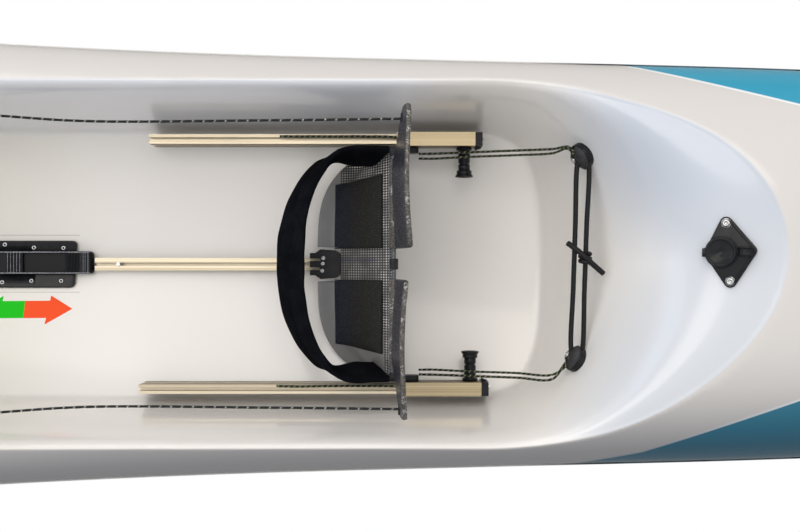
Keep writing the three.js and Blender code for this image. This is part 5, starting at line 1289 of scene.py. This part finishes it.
def hull_of_circles(circles, count=120):
    """The outline that a band stretched round circles takes: the furthest point of all circles
    in each direction."""
    angle = circle(count)
    way = np.stack([np.cos(angle), np.sin(angle)], -1)
    points = np.array([[np.array(c[:2]) + c[2] * w for w in way] for c in circles])
    best = np.argmax((points * way).sum(-1), axis=0)
    outline = points[best, np.arange(count)]
    closed = np.vstack([outline, outline[:1]])
    run = distances(closed)
    even = np.linspace(0.0, run[-1], count, endpoint=False)
    return np.stack([np.interp(even, run, closed[:, k]) for k in range(2)], -1)


DRAIN_AT = (0.8775, 0.0120)


def drain(finish):
    """A three-lobed base with a raised border, a capped plug with a rolled rim, a ribbed strap
    and two pan-head screws."""
    place = lambda points: on_deck(points, *DRAIN_AT)
    lobes = [(0.0045, 0.0300, 0.0066), (0.0292, 0.0015, 0.0058), (0.0085, -0.0300, 0.0066)]
    outline = hull_of_circles(lobes + [(0.0, 0.0, 0.0160)])
    rounded_slab("drain_plate", outline, -0.005, 0.0036, finish, "boat", ["drain_base"],
                 round_off=0.0009, place=place)
    inner = hull_of_circles([(u, v, r - 0.0026) for u, v, r in lobes] + [(0.004, 0.0, 0.0120)], 160)
    shown = inner[inner[:, 0] > 0.00447]
    start = int(np.argmax(np.abs(np.diff(np.concatenate([shown[:, 1], shown[:1, 1]])))))
    shown = np.roll(shown, -start - 1, axis=0)
    route = place(together(*shown[::4].T, 0.0037))
    cord_piece("drain_border", route, 0.0019, finish, "boat", sides=10, pitch=0.5)
    collar = [(0.0140, 0.0030), (0.0166, 0.0030), (0.0168, 0.0046), (0.0164, 0.0056),
              (0.0152, 0.0060), (0.0140, 0.0056), (0.0136, 0.0044)]
    local_turned("drain_collar", collar, place, (0, 0), finish, "boat", sides=64)
    cap = [(0.0085, -0.0115), (0.0088, -0.0110), (0.0088, 0.0034), (0.0140, 0.0062),
           (0.0150, 0.0066), (0.0152, 0.0100), (0.0149, 0.0113), (0.0141, 0.0119), (0.0132, 0.0118),
           (0.0126, 0.0111), (0.0120, 0.0106), (0.0070, 0.0107), (0.0064, 0.0104), (0.0034, 0.0105),
           (0.0030, 0.0102)]
    scallop = lambda angle: 1 + 0.006 * np.cos(24 * angle)
    local_turned("drain_cap", cap, place, (0, 0), finish, "plug", ["drain_plug"], sides=144,
                 lobes=scallop)
    u = np.linspace(0.0152, 0.0318, 40)
    rise = 0.0046 + 0.0030 * np.sin(np.clip((u - 0.0152) / 0.0166, 0, 1) * math.pi) ** 0.8
    across = np.linspace(-1, 1, 25)
    ridge = np.exp(-((np.abs(across) - 0.72) / 0.17) ** 2) * 0.0013
    near_end = ((u - 0.0272) / 0.0046).clip(0)
    half = 0.0050 * np.sqrt(np.maximum(0.06, 1 - near_end**2))
    v = 0.0008 + half[:, None] * across[None, :]
    top = together(u[:, None], v, rise[:, None] + ridge[None, :])
    ring = np.concatenate([top, together(u[:, None], v[:, ::-1], 0.0040)], axis=1)
    closed_grid("drain_strap", carried(ring, place), finish, "boat", ["drain_tether"])
    tab = np.array([[-0.0195, -0.0045], [-0.0150, -0.0050], [-0.0150, 0.0050], [-0.0195, 0.0040]])
    rounded_slab("drain_tab", tab, 0.0008, 0.0050, finish, "boat", round_off=0.0007,
                 place=place)
    head = screw_profile(0.0042, 0.0036, 0.0024, 0.32)
    washer = [(0.0034, 0.0035), (0.0052, 0.0035), (0.0052, 0.0041), (0.0034, 0.0041)]
    for name, centre in (("port", (0.0045, 0.0300)), ("starboard", (0.0085, -0.0300))):
        for piece, profile in (("screw", head), ("washer", washer)):
            local_turned(f"drain_{name}_{piece}", profile, place, centre, STEEL, "boat",
                         sides=32)


def rounded_end(x, aft, fore, half, corner):
    """Half-width of a bar with rounded corners at both ends."""
    inside = np.minimum(x - aft, fore - x).clip(0)
    cut = np.clip(corner - inside, 0, corner)
    return half - corner + np.sqrt(np.maximum(corner**2 - cut**2, 1e-9))


BAILER_TOP, BAILER_HALF = 0.0676, 0.029
# The handle's two rows of ribs: from, to, pitch, depth, power
RIBS = ((0.0633, 0.08195, 0.00373, 0.0017, 2.0), (0.1370, 0.1610, 0.00185, 0.0009, 1.0))
BAILER_SCREWS = [(0.0585, 0.0241), (0.0942, 0.0203), (0.1306, 0.0198), (0.055, -0.0222),
                 (0.091, -0.0204), (0.1277, -0.0204), (0.0225, 0.0230), (0.0195, -0.0226)]


def bailer(finish, slide_finish):
    """A flat plate with rounded corners and a slot, under a sliding handle whose section changes
    along its length."""
    top = BAILER_TOP
    x = np.concatenate([[0.004, 0.0042, 0.0048, 0.0065, 0.009, 0.0115],
                        np.linspace(0.015, 0.135, 40),
                        [0.1385, 0.141, 0.1432, 0.1448, 0.1455, 0.1458]])
    half = rounded_end(x, 0.004, 0.146, BAILER_HALF, 0.0065)
    skew = smooth_step((x - 0.10) / 0.046) * 0.0018
    edge = 0.0009
    border = [(0, 0.0), (0, 0.0022), (0.35, 0.0029), (1, 0.0032), (2.2, 0.0032), (3.2, 0.0029)]
    section = [(-1, *row) for row in border]
    section += [(0, 0, 0.0029)] + [(1, *row) for row in border[::-1]]
    rings = []
    for way, inset, height in section:
        y = way * (half - inset * edge)
        rings.append(together(x + skew * y / BAILER_HALF, y, top - 0.0032 + height))
    plate = closed_grid("bailer_base", np.stack(rings, axis=1), finish, "boat",
                        ["bailer_plate"])
    cut_box(plate, (0.042, -0.008, 0.060), (0.096, 0.008, 0.072))
    head = screw_profile(0.0030, top - 0.0006, 0.0017, 0.42)
    socket = [(0.0011, top + 0.0001), (0.0011, top + 0.0005), (0.00033, top + 0.00055)]
    for k, centre in enumerate(BAILER_SCREWS):
        turned(f"bailer_screw_{k + 1}", head, (*centre, 0.0), (0, 0, 1), STEEL, "boat",
               sides=28)
        turned(f"bailer_socket_{k + 1}", socket, (*centre, 0.0), (0, 0, 1), finish, "boat",
               sides=16)
    aft, fore, base = 0.047, 0.1688, top + 0.0003
    x = stretches((aft, 12), (0.0620, 80), (0.0840, 24), (0.134, 150), (0.1655, 12), fore)
    half = rounded_end(x, aft, fore, 0.0140, 0.0045)
    near_end = ((np.abs(x - (aft + fore) / 2) - 0.0570) / 0.0039).clip(0, 1)
    nose = np.sqrt(np.clip(1 - near_end**2, 0.05, 1))
    inside = 0.0088 + 0.0006 * smooth_step((x - 0.150) / 0.01)
    inside -= 0.0042 * smooth_step((x - 0.0828) / 0.0015) * (1 - smooth_step((x - 0.1345) / 0.0022))
    for low, high, pitch, depth, power in RIBS:
        wave = 0.5 - 0.5 * np.cos((x - low) / pitch * TAU)
        inside += np.where((x > low) & (x < high), depth * wave**power, 0.0)
    inside += 0.0022 * np.exp(-((x - 0.1635) / 0.0006) ** 2)
    rail = [(1, 0.0), (1, 0.72), (0.985, 0.92), (0.95, 1.0), (0.90, 1.0), (0.865, 1.0)]
    hollow = np.array([-0.84, -0.82, -0.6, -0.4, -0.2, 0, 0.2, 0.4, 0.6, 0.82, 0.84])
    across = np.concatenate([[-y for y, _ in rail], hollow, [y for y, _ in rail[::-1]]])
    sides = [np.full_like(x, 0.0104 * share) for _, share in rail]
    height = np.stack([*sides, *[inside] * len(hollow), *sides[::-1]], axis=1)
    ring = together(x[:, None], half[:, None] * across + 0.0020, base + height * nose[:, None])
    closed_grid("bailer_slide_handle", ring, slide_finish, "handle", ["bailer_handle"])


for name, side in SIDES:
    turning_block(name, side)
drain(GLOSS_BLACK)
bailer(GLOSS_BLACK, RIBBED)


# Finer pieces of the footboard
def on_board(x, y, lift):
    """Points above the board's face: its side view at each distance from the middle, moved
    square to itself."""
    share = np.linspace(0, 1, 120)
    lines = zip(*board_profile(np.abs(y.ravel()), share))
    out = []
    for (px, pz), at, off, height in zip(lines, x.ravel(), y.ravel(), lift.ravel()):
        rising = px + np.arange(len(share)) * 1e-9
        aft, z, fore = np.interp([at - 0.002, at, at + 0.002], rising, pz)
        slope = (fore - aft) / 0.004
        lifted = np.array([-slope, 0.0, 1.0]) / math.hypot(slope, 1.0) * height
        out.append(np.array([at, off, z]) + lifted)
    return np.reshape(out, (*x.shape, 3))


def board_sheet(name, corners, low, high, finish, replaced=(), rows=26, columns=20):
    """A four-cornered sheet on the board's face: corners aft inner, fore inner, fore outer, aft
    outer, blended across both ways."""
    (ax, ay), (bx, by), (cx, cy), (dx, dy) = corners
    u, v = np.linspace(0, 1, rows)[:, None], np.linspace(0, 1, columns)[None, :]
    x = (1 - u) * ((1 - v) * ax + v * dx) + u * ((1 - v) * bx + v * cx)
    y = (1 - u) * ((1 - v) * ay + v * dy) + u * ((1 - v) * by + v * cy)
    near = np.minimum(np.minimum(u, 1 - u) * rows, np.minimum(v, 1 - v) * columns)
    top = on_board(x, y, low + (high - low) * (0.55 + 0.45 * np.clip(near, 0, 1)))
    under = on_board(x, y, np.full_like(x, low))
    ring = np.concatenate([top, under[:, ::-1]], axis=1)
    return closed_grid(name, ring, finish, "board", replaced)


for name, side in SIDES:
    pad = [(0.4675, side * 0.0185), (0.5255, side * 0.0180), (0.5255, side * 0.1030),
           (0.4675, side * 0.0960)]
    board_sheet(f"{name}_grip_pad", pad, 0.0004, 0.0034, GRIT, [f"{name}_heel_pad"])
for k, centre in enumerate([(0.4528, 0.0072), (0.4522, 0.0006), (0.4516, -0.0080)]):
    head = screw_profile(0.0027, 0.0969, 0.0016, 0.4)
    turned(f"carriage_screw_{k + 1}", head, (*centre, 0.0), (0, 0, 1), STEEL, "board",
           sides=24)


PIN_AT = {1: 0.6215, -1: 0.6285}
PIN_FACE, PIN_HEIGHT = 0.13895, 0.11045
BARREL = [(0.0092, -0.0003), (0.0092, 0.0026), (0.0088, 0.0032), (0.0074, 0.0036), (0.0071, 0.0040),
          (0.0070, 0.0180), (0.0060, 0.0188), (0.0060, 0.0200), (0.0070, 0.0207), (0.0070, 0.0266),
          (0.0066, 0.0271), (0.0030, 0.0272)]
KNOB = [(0.0040, 0.0274), (0.0086, 0.0274), (0.0089, 0.0278), (0.0089, 0.0312), (0.0093, 0.0322),
        (0.0104, 0.0334), (0.0106, 0.0342), (0.0106, 0.0350), (0.0100, 0.0353), (0.0086, 0.0350),
        (0.0074, 0.0340), (0.0040, 0.0338)]
for name, side in SIDES:
    mouth, way = (PIN_AT[side], side * PIN_FACE, PIN_HEIGHT), (0, -side, 0)
    turned(f"{name}_pin_housing", BARREL, mouth, way, GLOSS_BLACK, "board",
           [f"{name}_pin_barrel"])
    turned(f"{name}_pull_ring", KNOB, mouth, way, GLOSS_BLACK, f"{name}_pull",
           [f"{name}_pull_knob"])
